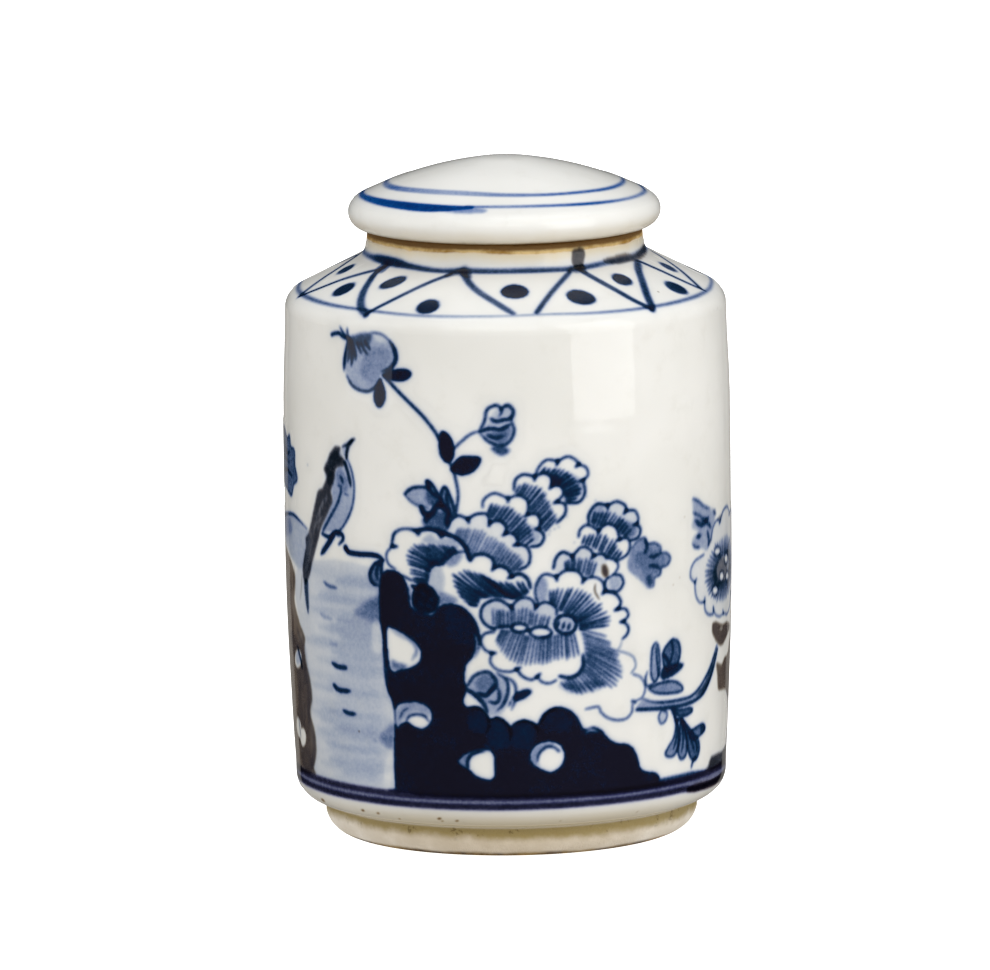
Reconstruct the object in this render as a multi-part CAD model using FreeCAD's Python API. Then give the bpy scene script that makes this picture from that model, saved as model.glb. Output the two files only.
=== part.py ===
import FreeCAD
import Part
import math
import os

# A glazed porcelain jar with a short neck, and a domed lid that lifts off.
# Millimetres, +Z up. The origin is the centre of the foot ring's resting face.
# Both pieces are thrown on a wheel, so each is its own section turned about Z.
# A section is a chain of edges in the XZ plane: X is the radius, Z is the height.

# Foot ring
REST_INNER_R = 36.6
REST_OUTER_R = 39.7
FOOT_EDGE = (42.3, 1.7)
FOOT_WALL_R = 43.7
FOOT_WALL_FOOT_Z = 4.6
GROOVE_ROUND = 0.6
FOOT_INNER_TOP = (36.0, 2.4)
RECESS_BEND = (35.7, 3.3)
RECESS_EDGE = (34.8, 3.7)
RECESS_CENTRE_Z = 5.2

# Body wall, from the rounded bottom edge to the rounded shoulder
BOTTOM_CENTRE = (44.3, 13.9)
BOTTOM_ROUND = 6.2
UNDERSIDE_ANGLE = -80.0
BODY_BULGE = [(50.75, 20.0), (51.35, 32.0), (52.0, 48.0), (52.35, 66.0), (52.4, 90.0), (52.25, 108.0)]
SHOULDER_CENTRE = (46.8, 123.9)
SHOULDER_ROUND = 4.9
SHOULDER_ANGLE = 63.5

# Neck, with the lip that the lid sits on
CONE_TOP = (34.5, 135.6)
NECK_BEND = (33.2, 136.6)
NECK_FOOT = (32.5, 138.6)
NECK_R = 32.2
SEAT_Z = 142.6
MOUTH_R = 28.4
LIP_ROUND = 0.7

# Inside of the jar
INNER_CONE_TOP_Z = 133.2
INNER_SHOULDER_CENTRE = (43.9, 121.2)
INNER_SHOULDER_ROUND = 3.6
INNER_WALL_MIDDLE = (47.9, 85.0)
FLOOR_CENTRE = (38.6, 20.0)
FLOOR_ROUND = 8.0
FLOOR_MIDDLE_Z = 10.8

# Lid, outside
RIM_CENTRE_R = 32.9
RIM_ROUND = 3.7
RIM_ANGLE = 42.0
DOME = [(32.1, 150.9), (27.6, 152.9), (21.8, 155.0), (15.0, 156.9), (8.0, 158.3)]
DOME_TOP_Z = 158.9

# Lid, underside, with the ring that drops into the neck
RING_CLEARANCE = 0.6
RING_DEPTH = 6.4
RING_TAPER = 0.5
RING_INNER_R = 24.2
RING_EDGE_ROUND = 0.8
HOLLOW_WALL_TOP = (24.6, 145.4)
HOLLOW_BEND = (23.4, 148.0)
HOLLOW_DOME_FOOT = (21.0, 149.5)
HOLLOW_DOME = [(10.0, 153.0)]
HOLLOW_TOP_Z = 154.1

ORIGIN = FreeCAD.Vector(0, 0, 0)
UP = FreeCAD.Vector(0, 0, 1)


def vector(place):
    """A place in a section, given as radius and height."""
    return FreeCAD.Vector(place[0], 0, place[1])


def line(start, end):
    """A straight edge."""
    return Part.makeLine(vector(start), vector(end))


def arc(start, middle, end):
    """A round edge through three places."""
    return Part.Arc(vector(start), vector(middle), vector(end)).toShape()


def smooth(places, start_direction, end_direction):
    """A smooth edge through the places, with set directions at its ends."""
    curve = Part.BSplineCurve()
    curve.interpolate(
        Points=[vector(place) for place in places],
        InitialTangent=vector(start_direction),
        FinalTangent=vector(end_direction),
    )
    return curve.toShape()


def on_circle(centre, radius, degrees):
    """The place on a circle at an angle, where 0 points outwards and 90 up."""
    angle = math.radians(degrees)
    return (centre[0] + radius * math.cos(angle), centre[1] + radius * math.sin(angle))


def circle_arc(centre, radius, start_degrees, end_degrees):
    """A round edge about a centre, from one angle to another."""
    middle_degrees = (start_degrees + end_degrees) / 2
    return arc(
        on_circle(centre, radius, start_degrees),
        on_circle(centre, radius, middle_degrees),
        on_circle(centre, radius, end_degrees),
    )


def turned(edges):
    """The solid made by turning a closed section once about the axis."""
    section = Part.Face(Part.Wire(edges))
    return section.revolve(ORIGIN, UP, 360)


def jar_outside():
    """The edges from the middle of the base recess out, up the wall and neck to the lip."""
    underside = on_circle(BOTTOM_CENTRE, BOTTOM_ROUND, UNDERSIDE_ANGLE)
    groove_r = FOOT_WALL_R + GROOVE_ROUND
    groove_slope = math.tan(math.radians(90 + UNDERSIDE_ANGLE))
    groove_z = underside[1] - (underside[0] - groove_r) * groove_slope
    groove_centre = (groove_r, groove_z - GROOVE_ROUND)
    body_foot = on_circle(BOTTOM_CENTRE, BOTTOM_ROUND, 0)
    shoulder_foot = on_circle(SHOULDER_CENTRE, SHOULDER_ROUND, 0)
    shoulder_top = on_circle(SHOULDER_CENTRE, SHOULDER_ROUND, SHOULDER_ANGLE)
    lip_centre = (NECK_R - LIP_ROUND, SEAT_Z - LIP_ROUND)
    return [
        line((0, RECESS_CENTRE_Z), RECESS_EDGE),
        arc(RECESS_EDGE, RECESS_BEND, FOOT_INNER_TOP),
        line(FOOT_INNER_TOP, (REST_INNER_R, 0)),
        line((REST_INNER_R, 0), (REST_OUTER_R, 0)),
        arc((REST_OUTER_R, 0), FOOT_EDGE, (FOOT_WALL_R, FOOT_WALL_FOOT_Z)),
        line((FOOT_WALL_R, FOOT_WALL_FOOT_Z), (FOOT_WALL_R, groove_centre[1])),
        circle_arc(groove_centre, GROOVE_ROUND, 180, 90),
        line((groove_r, groove_z), underside),
        circle_arc(BOTTOM_CENTRE, BOTTOM_ROUND, UNDERSIDE_ANGLE, 0),
        smooth([body_foot] + BODY_BULGE + [shoulder_foot], (0, 1), (0, 1)),
        circle_arc(SHOULDER_CENTRE, SHOULDER_ROUND, 0, SHOULDER_ANGLE),
        line(shoulder_top, CONE_TOP),
        arc(CONE_TOP, NECK_BEND, NECK_FOOT),
        line(NECK_FOOT, (NECK_R, lip_centre[1])),
        circle_arc(lip_centre, LIP_ROUND, 0, 90),
    ]


def jar_inside():
    """The edges from the lip down the bore and the inner wall to the middle of the floor."""
    lip_outer = (NECK_R - LIP_ROUND, SEAT_Z)
    lip_centre = (MOUTH_R + LIP_ROUND, SEAT_Z - LIP_ROUND)
    inner_cone_foot = on_circle(INNER_SHOULDER_CENTRE, INNER_SHOULDER_ROUND, SHOULDER_ANGLE)
    inner_wall_top = on_circle(INNER_SHOULDER_CENTRE, INNER_SHOULDER_ROUND, 0)
    floor_corner = on_circle(FLOOR_CENTRE, FLOOR_ROUND, 0)
    floor_edge = on_circle(FLOOR_CENTRE, FLOOR_ROUND, -90)
    return [
        line(lip_outer, (MOUTH_R + LIP_ROUND, SEAT_Z)),
        circle_arc(lip_centre, LIP_ROUND, 90, 180),
        line((MOUTH_R, lip_centre[1]), (MOUTH_R, INNER_CONE_TOP_Z)),
        line((MOUTH_R, INNER_CONE_TOP_Z), inner_cone_foot),
        circle_arc(INNER_SHOULDER_CENTRE, INNER_SHOULDER_ROUND, SHOULDER_ANGLE, 0),
        arc(inner_wall_top, INNER_WALL_MIDDLE, floor_corner),
        circle_arc(FLOOR_CENTRE, FLOOR_ROUND, 0, -90),
        line(floor_edge, (0, FLOOR_MIDDLE_Z)),
        line((0, FLOOR_MIDDLE_Z), (0, RECESS_CENTRE_Z)),
    ]


def jar():
    """The jar: foot ring, body, shoulder and neck in one fired piece."""
    return turned(jar_outside() + jar_inside())


def lid_outside():
    """The edges from the seat out around the rim and over the dome to its top."""
    rim_centre = (RIM_CENTRE_R, SEAT_Z + RIM_ROUND)
    rim_top = on_circle(rim_centre, RIM_ROUND, RIM_ANGLE)
    rim_direction = (-math.sin(math.radians(RIM_ANGLE)), math.cos(math.radians(RIM_ANGLE)))
    return [
        circle_arc(rim_centre, RIM_ROUND, -90, RIM_ANGLE),
        smooth([rim_top] + DOME + [(0, DOME_TOP_Z)], rim_direction, (-1, 0)),
    ]


def lid_inside():
    """The edges from the top of the hollow down, around the ring and out to the seat."""
    ring_top_r = MOUTH_R - RING_CLEARANCE
    ring_foot_r = ring_top_r - RING_TAPER
    ring_foot_z = SEAT_Z - RING_DEPTH
    ring_edge_centre = (ring_foot_r - RING_EDGE_ROUND, ring_foot_z + RING_EDGE_ROUND)
    dome_direction = (HOLLOW_DOME_FOOT[0] - HOLLOW_BEND[0], HOLLOW_DOME_FOOT[1] - HOLLOW_BEND[1])
    dome_places = [HOLLOW_DOME_FOOT] + HOLLOW_DOME + [(0, HOLLOW_TOP_Z)]
    inner_edge = (RING_INNER_R, ring_foot_z + RING_EDGE_ROUND)
    return [
        line((0, DOME_TOP_Z), (0, HOLLOW_TOP_Z)),
        smooth(dome_places, dome_direction, (-1, 0)),
        arc(HOLLOW_DOME_FOOT, HOLLOW_BEND, HOLLOW_WALL_TOP),
        line(HOLLOW_WALL_TOP, inner_edge),
        line(inner_edge, (RING_INNER_R + RING_EDGE_ROUND, ring_foot_z)),
        line((RING_INNER_R + RING_EDGE_ROUND, ring_foot_z), (ring_edge_centre[0], ring_foot_z)),
        circle_arc(ring_edge_centre, RING_EDGE_ROUND, -90, 0),
        line((ring_foot_r, ring_edge_centre[1]), (ring_top_r, SEAT_Z)),
        line((ring_top_r, SEAT_Z), (RIM_CENTRE_R, SEAT_Z)),
    ]


def lid():
    """The lid: dome, overhanging rim and locating ring in one fired piece."""
    return turned(lid_outside() + lid_inside())


os.makedirs("parts", exist_ok=True)
for name, solid in (("jar", jar()), ("lid", lid())):
    solid.exportStep(f"parts/{name}.step")
    box = solid.optimalBoundingBox(True, False)
    heights = f"z {box.ZMin:.2f} to {box.ZMax:.2f}"
    print(f"{name}: valid {solid.isValid()}, radius {box.XMax:.2f}, {heights}, {solid.Volume:.0f} mm3")
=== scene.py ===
"""The looks of a painted porcelain jar and its lid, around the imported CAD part.

The blue painting is laid with a brush on an unrolled sheet of each body's outer
surface, in millimetres: s runs round the body from the front, to the right, and
h runs up it. The sheet is then wrapped back as thin shells just over the glaze,
which carry how much cobalt and iron lies at each point.
"""

import math

import bpy
import numpy as np
from mathutils import Matrix, Vector


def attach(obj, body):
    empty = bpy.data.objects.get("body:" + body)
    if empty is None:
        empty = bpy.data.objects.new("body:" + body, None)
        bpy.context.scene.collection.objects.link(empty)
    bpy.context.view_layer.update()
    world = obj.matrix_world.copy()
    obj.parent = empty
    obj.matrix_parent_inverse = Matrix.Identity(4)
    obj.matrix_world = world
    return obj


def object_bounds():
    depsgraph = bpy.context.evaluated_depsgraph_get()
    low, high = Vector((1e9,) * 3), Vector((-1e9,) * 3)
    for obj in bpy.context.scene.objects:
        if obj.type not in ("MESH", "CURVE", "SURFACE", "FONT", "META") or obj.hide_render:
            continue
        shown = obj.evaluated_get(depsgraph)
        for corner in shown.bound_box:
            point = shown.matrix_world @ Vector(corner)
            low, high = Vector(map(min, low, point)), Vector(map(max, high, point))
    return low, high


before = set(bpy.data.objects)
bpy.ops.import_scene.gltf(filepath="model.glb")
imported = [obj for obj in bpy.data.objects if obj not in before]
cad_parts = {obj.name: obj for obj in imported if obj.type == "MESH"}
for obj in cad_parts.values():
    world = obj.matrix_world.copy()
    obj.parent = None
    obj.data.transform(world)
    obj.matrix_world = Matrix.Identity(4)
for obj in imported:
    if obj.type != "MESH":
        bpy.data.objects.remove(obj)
cad_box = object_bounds()

MM = 0.001

# The sheets: the radius that each is unrolled at, and the size of its cells, in millimetres
GIRTH_R = 52.4
LID_GIRTH_R = 36.6
CELL = 0.25
WALL_ANCHOR = 66.0
LID_ANCHOR = 148.78

# The shells: cells along a block's side, and how far the paint stands off the wall
BLOCK = 4
PAINT_LIFT = 0.12
PAINT_DIP = -0.26
PAINT_BACK = -0.5
CORNER_ROUNDS = 60

# The ink: the most a cell can hold, how old ink holds new ink back, and what counts as painted
MOST_COBALT = 1.3
MOST_IRON = 1.2
HELD_BACK = 0.62
CLAIMED = 0.12
INKED = 0.008
BLEED_ROUNDS = 20
BLEED_SHARE = 0.19

# The camera: degrees above level and of tip, millimetres of lens, metres from the jar
CAMERA_RISE = 9.13
CAMERA_TIP = -0.72
CAMERA_LENS = 464.7
CAMERA_DISTANCE = 3.0

# The garden is painted once more on the back, turned over and moved this far round
BACK_ALONG = 165.0

rng = np.random.default_rng(7)


def in_scene(name, data):
    """A new object with this data, in the scene."""
    made = bpy.data.objects.new(name, data)
    bpy.context.scene.collection.objects.link(made)
    return made


# ---------------------------------------------------------------- surfaces

class Surface:
    """The outer surface of a turned CAD node, as rows of radius, height and facing."""

    def __init__(self, node, lowest, highest, least_outward):
        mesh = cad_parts[node].data
        count = len(mesh.vertices)
        place = np.zeros(count * 3)
        mesh.vertices.foreach_get("co", place)
        place = place.reshape(-1, 3) / MM
        corner_vertex = np.zeros(len(mesh.loops), int)
        mesh.loops.foreach_get("vertex_index", corner_vertex)
        corner = np.zeros(len(mesh.loops) * 3)
        mesh.corner_normals.foreach_get("vector", corner)
        facing = np.zeros((count, 3))
        np.add.at(facing, corner_vertex, corner.reshape(-1, 3))
        radius = np.hypot(place[:, 0], place[:, 1])
        safe = np.maximum(radius, 1e-6)
        outward = (facing[:, 0] * place[:, 0] + facing[:, 1] * place[:, 1]) / safe
        size = np.maximum(np.hypot(outward, facing[:, 2]), 1e-9)
        outward, upward = outward / size, facing[:, 2] / size
        height = place[:, 2]
        kept = (height >= lowest) & (height <= highest) & (outward > least_outward)
        rows = []
        for z in np.unique(np.round(height[kept], 2)):
            at = kept & (np.abs(height - z) < 0.006)
            row = (radius[at].mean(), z, outward[at].mean(), upward[at].mean())
            if not rows or math.dist(rows[-1][:2], row[:2]) > 0.4:
                rows.append(row)
        self.rows = np.array(rows)

    def measure(self, anchor_height):
        """Gives each row its length along the surface, equal to its height at the anchor."""
        steps = np.hypot(np.diff(self.rows[:, 0]), np.diff(self.rows[:, 1]))
        along = np.concatenate([[0.0], np.cumsum(steps)])
        self.h = along + anchor_height - np.interp(anchor_height, self.rows[:, 1], along)

    def at(self, h):
        """Radius, height and unit facing (outward, upward) at each length h."""
        r, z, outward, upward = (np.interp(h, self.h, self.rows[:, k]) for k in range(4))
        size = np.hypot(outward, upward)
        return r, z, outward / size, upward / size


# ---------------------------------------------------------------- the painter's sheet

def curve(points, closed=False, step=0.5):
    """A smooth line through the points, as closely spaced places."""
    p = np.asarray(points, float)
    if len(p) < 3:
        count = max(2, int(math.dist(p[-1][:2], p[0][:2]) / step))
        return p[0] + np.linspace(0, 1, count)[:, None] * (p[-1] - p[0])
    before = p[-1:] if closed else 2 * p[:1] - p[1:2]
    after = p[:2] if closed else 2 * p[-1:] - p[-2:-1]
    q = np.concatenate([before, p, after])
    places = []
    for k in range(1, len(q) - 2):
        a, b, c, d = q[k - 1:k + 3]
        count = max(2, int(math.dist(b[:2], c[:2]) / step))
        t = np.linspace(0, 1, count, endpoint=False)[:, None]
        places.append(0.5 * (2 * b + (c - a) * t + (2 * a - 5 * b + 4 * c - d) * t ** 2
                             + (3 * b - a - 3 * c + d) * t ** 3))
    places.append(q[-2][None])
    return np.concatenate(places)


class Sheet:
    """The unrolled outer surface of a body, with the cobalt and iron laid on it."""

    def __init__(self, surface, girth_radius, low, high, cell):
        self.surface = surface
        self.girth = 2 * math.pi * girth_radius
        self.columns = BLOCK * round(self.girth / cell / BLOCK)
        self.rows = BLOCK * round((high - low) / cell / BLOCK)
        self.wide = self.girth / self.columns
        self.tall = (high - low) / self.rows
        self.low = low
        self.h = low + np.arange(self.rows + 1) * self.tall
        self.stretch = surface.at(self.h)[0] / girth_radius
        shape = (self.rows + 1, self.columns)
        self.cobalt = np.zeros(shape)
        self.iron = np.zeros(shape)
        self.owner = np.zeros(shape, int)
        self.names = [""]
        self.mirror, self.along, self.suffix = 1.0, 0.0, ""

    def repeat(self, mirror, along, suffix):
        """What is painted next is turned over and moved round the body, as other pieces."""
        self.mirror, self.along, self.suffix = mirror, along, suffix

    def begin(self, name):
        """The strokes that follow belong to this piece."""
        name += self.suffix
        if name not in self.names:
            self.names.append(name)
        self.current = self.names.index(name)

    def place(self, points):
        """Where the points lie once turned over and moved round, if they are."""
        return np.asarray(points, float) * (self.mirror, 1.0) + (self.along, 0.0)

    def window(self, points, margin):
        """The cells round the points: their indices, s, h, and how wide s really is there."""
        low, high = points.min(0) - margin, points.max(0) + margin
        least = self.stretch[max(0, int((low[1] - self.low) / self.tall)):
                             max(1, int((high[1] - self.low) / self.tall) + 1)]
        spread = margin / max(0.3, least.min() if len(least) else 1) - margin
        first = math.floor((low[0] - spread + self.girth / 2) / self.wide)
        last = math.ceil((high[0] + spread + self.girth / 2) / self.wide)
        bottom = max(0, math.floor((low[1] - self.low) / self.tall))
        top = min(self.rows, math.ceil((high[1] - self.low) / self.tall))
        if top <= bottom:
            return None
        columns = np.arange(first, last + 1)
        rows = np.arange(bottom, top + 1)
        s = (columns * self.wide - self.girth / 2)[None, :]
        return np.ix_(rows, columns % self.columns), s, self.h[rows][:, None], self.stretch[rows][:, None]

    def lay(self, cells, cover, ink, iron):
        """Adds ink where cover says, less and less over old ink. Negative ink lifts that share of it."""
        if ink < 0:
            self.cobalt[cells] *= 1 + cover * ink
            self.iron[cells] *= 1 + cover * ink
            return
        for layer, amount in ((self.cobalt, ink), (self.iron, iron)):
            if amount:
                old = layer[cells]
                layer[cells] = old + cover * amount * np.clip(1 - HELD_BACK * old, 0.15, 1)
        self.claim(cells, cover)

    def claim(self, cells, cover):
        """The cells that are covered now belong to the current piece."""
        owner = self.owner[cells]
        self.owner[cells] = np.where(cover > CLAIMED, self.current, owner)

    def line(self, points, width, ink=0.8, ends=(0.35, 0.35), iron=0.0, soft=0.28, smooth=True):
        """A brush stroke through the points, thinner at its ends."""
        path = self.place(points)
        path = curve(path) if smooth else path
        share = np.linspace(0, 1, len(path))
        full = np.minimum(1, np.minimum(ends[0] + share * 3.5, ends[1] + (1 - share) * 3.5))
        self.stroke(path, width / 2 * full, np.ones(len(path)), ink, iron, soft)

    def stroke(self, path, half, tone, ink, iron, soft):
        """Lays a line of changing half width and tone along a path."""
        reach = half.max() + soft
        found = self.window(path, reach)
        if found is None:
            return
        cells, s, h, stretch = found
        cover = np.zeros((h.shape[0], s.shape[1]))
        for k in range(len(path) - 1):
            a, b = path[k], path[k + 1]
            r0 = max(0, int((min(a[1], b[1]) - reach - h[0, 0]) / self.tall))
            r1 = max(0, int((max(a[1], b[1]) + reach - h[0, 0]) / self.tall) + 2)
            local = stretch[r0:r1]
            if not len(local):
                continue
            side = reach / local.min()
            c0 = max(0, int((min(a[0], b[0]) - side - s[0, 0]) / self.wide))
            c1 = max(0, int((max(a[0], b[0]) + side - s[0, 0]) / self.wide) + 2)
            ds = (s[:, c0:c1] - a[0]) * local
            dh = h[r0:r1] - a[1]
            ts = (b[0] - a[0]) * local
            th = b[1] - a[1]
            t = np.clip((ds * ts + dh * th) / (ts * ts + th * th + 1e-12), 0, 1)
            away = np.hypot(ds - t * ts, dh - t * th)
            part = np.clip(0.5 + (half[k] + (half[k + 1] - half[k]) * t - away) / soft, 0, 1) * tone[k]
            view = cover[r0:r1, c0:c1]
            np.maximum(view, part, out=view)
        again = cover.shape[1] - self.columns
        if again > 0:  # the stroke goes all the way round and meets itself
            both = np.maximum(cover[:, :again], cover[:, -again:])
            cover[:, :again] = cover[:, -again:] = both
        self.lay(cells, cover, ink, iron)

    def band(self, places, soft=0.3):
        """A long stroke whose places are (along, up, width, ink)."""
        path = curve(places, step=1.0)
        strongest = path[:, 3].max()
        self.stroke(self.place(path[:, :2]), path[:, 2] / 2, path[:, 3] / strongest, strongest, 0.0, soft)

    def loop(self, outline, width, ink):
        """A stroke all the way round an outline."""
        self.line(np.concatenate([outline, outline[:1]]), width, ink, (1, 1))

    def inside(self, points, soft, smooth):
        """How far each cell near the outline is covered by its inside, from 0 to 1."""
        outline = self.place(points)
        outline = curve(outline, closed=True) if smooth else outline
        found = self.window(outline, soft + 0.6)
        if found is None:
            return None
        cells, s, h, stretch = found
        within = np.zeros((h.shape[0], s.shape[1]), bool)
        for a, b in zip(outline, np.roll(outline, -1, 0)):
            if a[1] != b[1]:
                crossed = (h >= min(a[1], b[1])) & (h < max(a[1], b[1]))
                within ^= crossed & (s < a[0] + (h - a[1]) / (b[1] - a[1]) * (b[0] - a[0]))
        cover = within.astype(float)
        for _ in range(max(1, round(soft / CELL))):
            cover = blurred(cover)
        return cells, cover

    def patch(self, points, ink=0.3, iron=0.0, soft=0.25, smooth=True):
        """A wash that fills an outline."""
        found = self.inside(points, soft, smooth)
        if found is None:
            return
        cells, cover = found
        mottle = 0.82 + 0.36 * clouds[self][cells]
        self.lay(cells, cover * mottle, ink, iron)

    def clear(self, points, smooth=True):
        """Bare glaze kept inside an outline."""
        found = self.inside(points, 0.2, smooth)
        if found is None:
            return
        cells, cover = found
        self.cobalt[cells] *= 1 - cover
        self.iron[cells] *= 1 - cover
        self.claim(cells, cover)

    def oval(self, centre, across, tall, turn=0.0):
        """The outline of an oval, as points."""
        angle = np.linspace(0, 2 * math.pi, 14, endpoint=False)
        x, y = across / 2 * np.cos(angle), tall / 2 * np.sin(angle)
        c, s = math.cos(math.radians(turn)), math.sin(math.radians(turn))
        return np.stack([centre[0] + x * c - y * s, centre[1] + x * s + y * c], 1)

    def comb(self, outer, inner, pitch=1.1, width=0.55, ink=0.8, ends=(0.5, 0.9), bend=0.0):
        """Fine lines from one curve to another, as in a petal's veins."""
        a, b = curve(outer), curve(inner)
        count = round(np.hypot(*np.diff(a, axis=0).T).sum() / pitch)
        for k in range(count):
            share = (k + 0.5 + 0.25 * (rng.random() - 0.5)) / count
            start, end = (np.array([np.interp(share, np.linspace(0, 1, len(c)), c[:, i]) for i in (0, 1)])
                          for c in (a, b))
            start = start + (end - start) * 0.14 * rng.random()
            middle = (start + end) / 2 + bend * np.array([-(end - start)[1], (end - start)[0]])
            self.line([start, middle, end], width * (0.65 + 0.3 * rng.random()),
                      ink * (0.88 + 0.2 * rng.random()), ends)

    def petal(self, lobes, root, rim=0.46, ink=0.78, tint=0.0):
        """White ground, scalloped rim, and the dark nicks between its lobes."""
        edge = np.concatenate([curve(lobe) for lobe in lobes])
        ground = np.concatenate([edge, curve(root)])
        self.clear(ground, smooth=False)
        if tint:
            self.patch(ground, tint, soft=0.8, smooth=False)
        for lobe in lobes:
            self.line(lobe, rim * (0.85 + 0.3 * rng.random()), ink, (0.8, 0.8))
        middle = np.mean(root, axis=0)
        for before, after in zip(lobes, lobes[1:]):
            nick = (np.array(before[-1]) + np.array(after[0])) / 2
            inward = (middle - nick) / max(np.hypot(*(middle - nick)), 1e-6)
            self.line([nick - 0.1 * inward, nick + 0.9 * inward], 0.9, ink, (1.0, 0.5))

    def leaf(self, points, ink=0.55, edge=0.75, vein=None):
        """A leaf: a wash, an outline, and a vein if given."""
        self.patch(points, 1.2 * ink)
        self.line(list(points) + [points[0]], 0.42, 0.92 * edge, (0.7, 0.7))
        if vein is not None:
            self.line(vein, 0.4, edge, (0.8, 0.3))


def blurred(field):
    """The field softened over its next cells."""
    out = field.copy()
    out[1:-1] = (field[:-2] + 2 * field[1:-1] + field[2:]) / 4
    side = out.copy()
    side[:, 1:-1] = (out[:, :-2] + 2 * out[:, 1:-1] + out[:, 2:]) / 4
    return side


def cloud(shape, across, seed):
    """Smooth random light and shade from 0 to 1, patches about that many cells across."""
    made = np.random.default_rng(seed)
    rows = max(2, int(shape[0] / across))
    columns = max(2, int(shape[1] / across))
    grid = made.random((rows + 2, columns))
    grid = np.concatenate([grid, grid[:, :1]], 1)

    def blend(values, count):
        at = np.linspace(0, len(values) - 1.001, count)
        low = at.astype(int)
        t = (at - low)[:, None]
        t = t * t * (3 - 2 * t)
        return values[low] * (1 - t) + values[low + 1] * t

    return blend(blend(grid, shape[0]).T, shape[1]).T


jar_surface = Surface("jar", 7.75, 141.95, 0.1)
jar_surface.measure(WALL_ANCHOR)
lid_surface = Surface("lid", 145.0, 158.85, 0.0)
lid_surface.measure(LID_ANCHOR)

jar_sheet = Sheet(jar_surface, GIRTH_R, 7.0, 152.5, CELL)
clouds = {jar_sheet: 0.6 * cloud(jar_sheet.cobalt.shape, 22, 1) + 0.4 * cloud(jar_sheet.cobalt.shape, 7, 2)}


# ---------------------------------------------------------------- the garden on the wall

def paint_bottom_rings(sheet):
    """Two lines and the pale band between them, low on the wall."""
    sheet.begin("painted_bottom_rings")
    half = sheet.girth / 2
    around = np.linspace(-half - 1.5, half + 1.5, 60)
    wave = 0.1 * np.sin(around / half * 3 * math.pi)
    sheet.line(np.stack([around, 14.6 + wave], 1), 1.8, 0.27, (1, 1), iron=0.06)
    sheet.line(np.stack([around, 15.75 + wave], 1), 1.25, 0.5, (1, 1), iron=0.2, soft=0.5)
    sheet.line([(18, 15.9), (30, 16.1), (40, 16.3), (50, 16.3), (58, 16.2)], 1.9, 0.5)
    lower = np.where((around > 49) & (around < 90), 12.9, 13.4) + wave
    sheet.line(np.stack([around, lower], 1), 1.2, 0.58, (1, 1), iron=0.22, soft=0.4)
    sheet.line([(50, 13.1), (56, 12.9), (64, 12.6), (80, 12.8)], 2.0, 0.22, (0.6, 0.5), iron=0.5)


def paint_cliff(sheet):
    """A pale streaked cliff face with a few short dashes."""
    sheet.begin("painted_cliff")
    sheet.patch([(-61, 16.6), (-58.5, 24), (-59, 33), (-60.5, 42), (-62.5, 49), (-66, 57), (-66, 63),
        (-60, 66.5), (-52, 68.5), (-44, 69.5), (-36, 69), (-32, 68), (-31.5, 60), (-31, 50), (-30.5, 42),
        (-28.8, 36), (-28.6, 26), (-29, 16.6)], 0.06, soft=1.0)
    for h in np.arange(17.5, 68, 1.3):
        s = -60 + 16 * rng.random()
        end = -33 + 4 * rng.random()
        sway = 0.9 * (rng.random() - 0.5)
        sheet.line([(s, h), ((s + end) / 2, h + sway), (end, h + 0.4)], 1.2 + 1.8 * rng.random(),
            0.02 + 0.06 * rng.random(), soft=1.6)
    sheet.patch([(-40, 57.5), (-36, 56.5), (-31.6, 56), (-31.6, 62), (-34, 61.5)], 0.2, soft=1.6)
    sheet.patch([(-33.4, 28.5), (-30, 26), (-29, 32), (-31, 31)], 0.2, soft=1.2)
    for outline in (
            [(-34.5, 49.5), (-31.6, 49), (-31.6, 56), (-34, 56)],
            [(-33, 17), (-29.6, 17), (-29.6, 25.5), (-31.5, 24)]):
        sheet.patch(outline, -0.5, soft=1.0)
    for stroke in (
            ([(-50.7, 63.6), (-48.5, 62.8), (-45.5, 62.7)], 0.8, 0.36),
            ([(-52.5, 55.8), (-50.5, 55.2), (-47.5, 55.1)], 0.9, 0.12),
            ([(-49, 49.2), (-46, 49)], 0.9, 0.08),
            ([(-48.3, 44.6), (-46, 44), (-43.2, 44.1)], 1.0, 0.7, (0.4, 0.8)),
            ([(-48, 39.4), (-46.4, 38.5), (-44, 38.5), (-42.1, 38.7)], 0.95, 0.75, (0.8, 0.4)),
            ([(-45, 33.7), (-42.8, 33.3), (-40.6, 33.4)], 0.85, 0.65)):
        sheet.line(*stroke)
    sheet.line([(-35, 28), (-34.6, 27.6)], 1.2, 0.12, soft=0.8)
    sheet.line([(-31, 56), (-31, 48), (-30.6, 42), (-29.3, 38.6), (-28.6, 36), (-28.5, 30), (-29, 24),
        (-29, 17)], 0.7, 0.7, (1, 1))


def paint_pale_rock(sheet):
    """The pale top of the bank behind the bird."""
    sheet.begin("painted_cliff")
    sheet.patch([(-82, 75.3), (-78, 75.3), (-74, 76.2), (-67, 77.2), (-62, 76.3), (-57, 74.5), (-58, 68),
        (-63, 65), (-70, 67), (-76, 69), (-84, 70)], 0.13, soft=0.9)
    sheet.patch([(-82, 75), (-76, 75.5), (-70, 75.6), (-68, 73), (-74, 71), (-82, 71)], 0.12, soft=0.9)
    sheet.line([(-86, 73), (-80, 74.8), (-74, 76.2), (-67, 77.1), (-62, 76.3), (-58, 75.0)], 0.65, 0.6,
        (0.3, 0.2))


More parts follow.
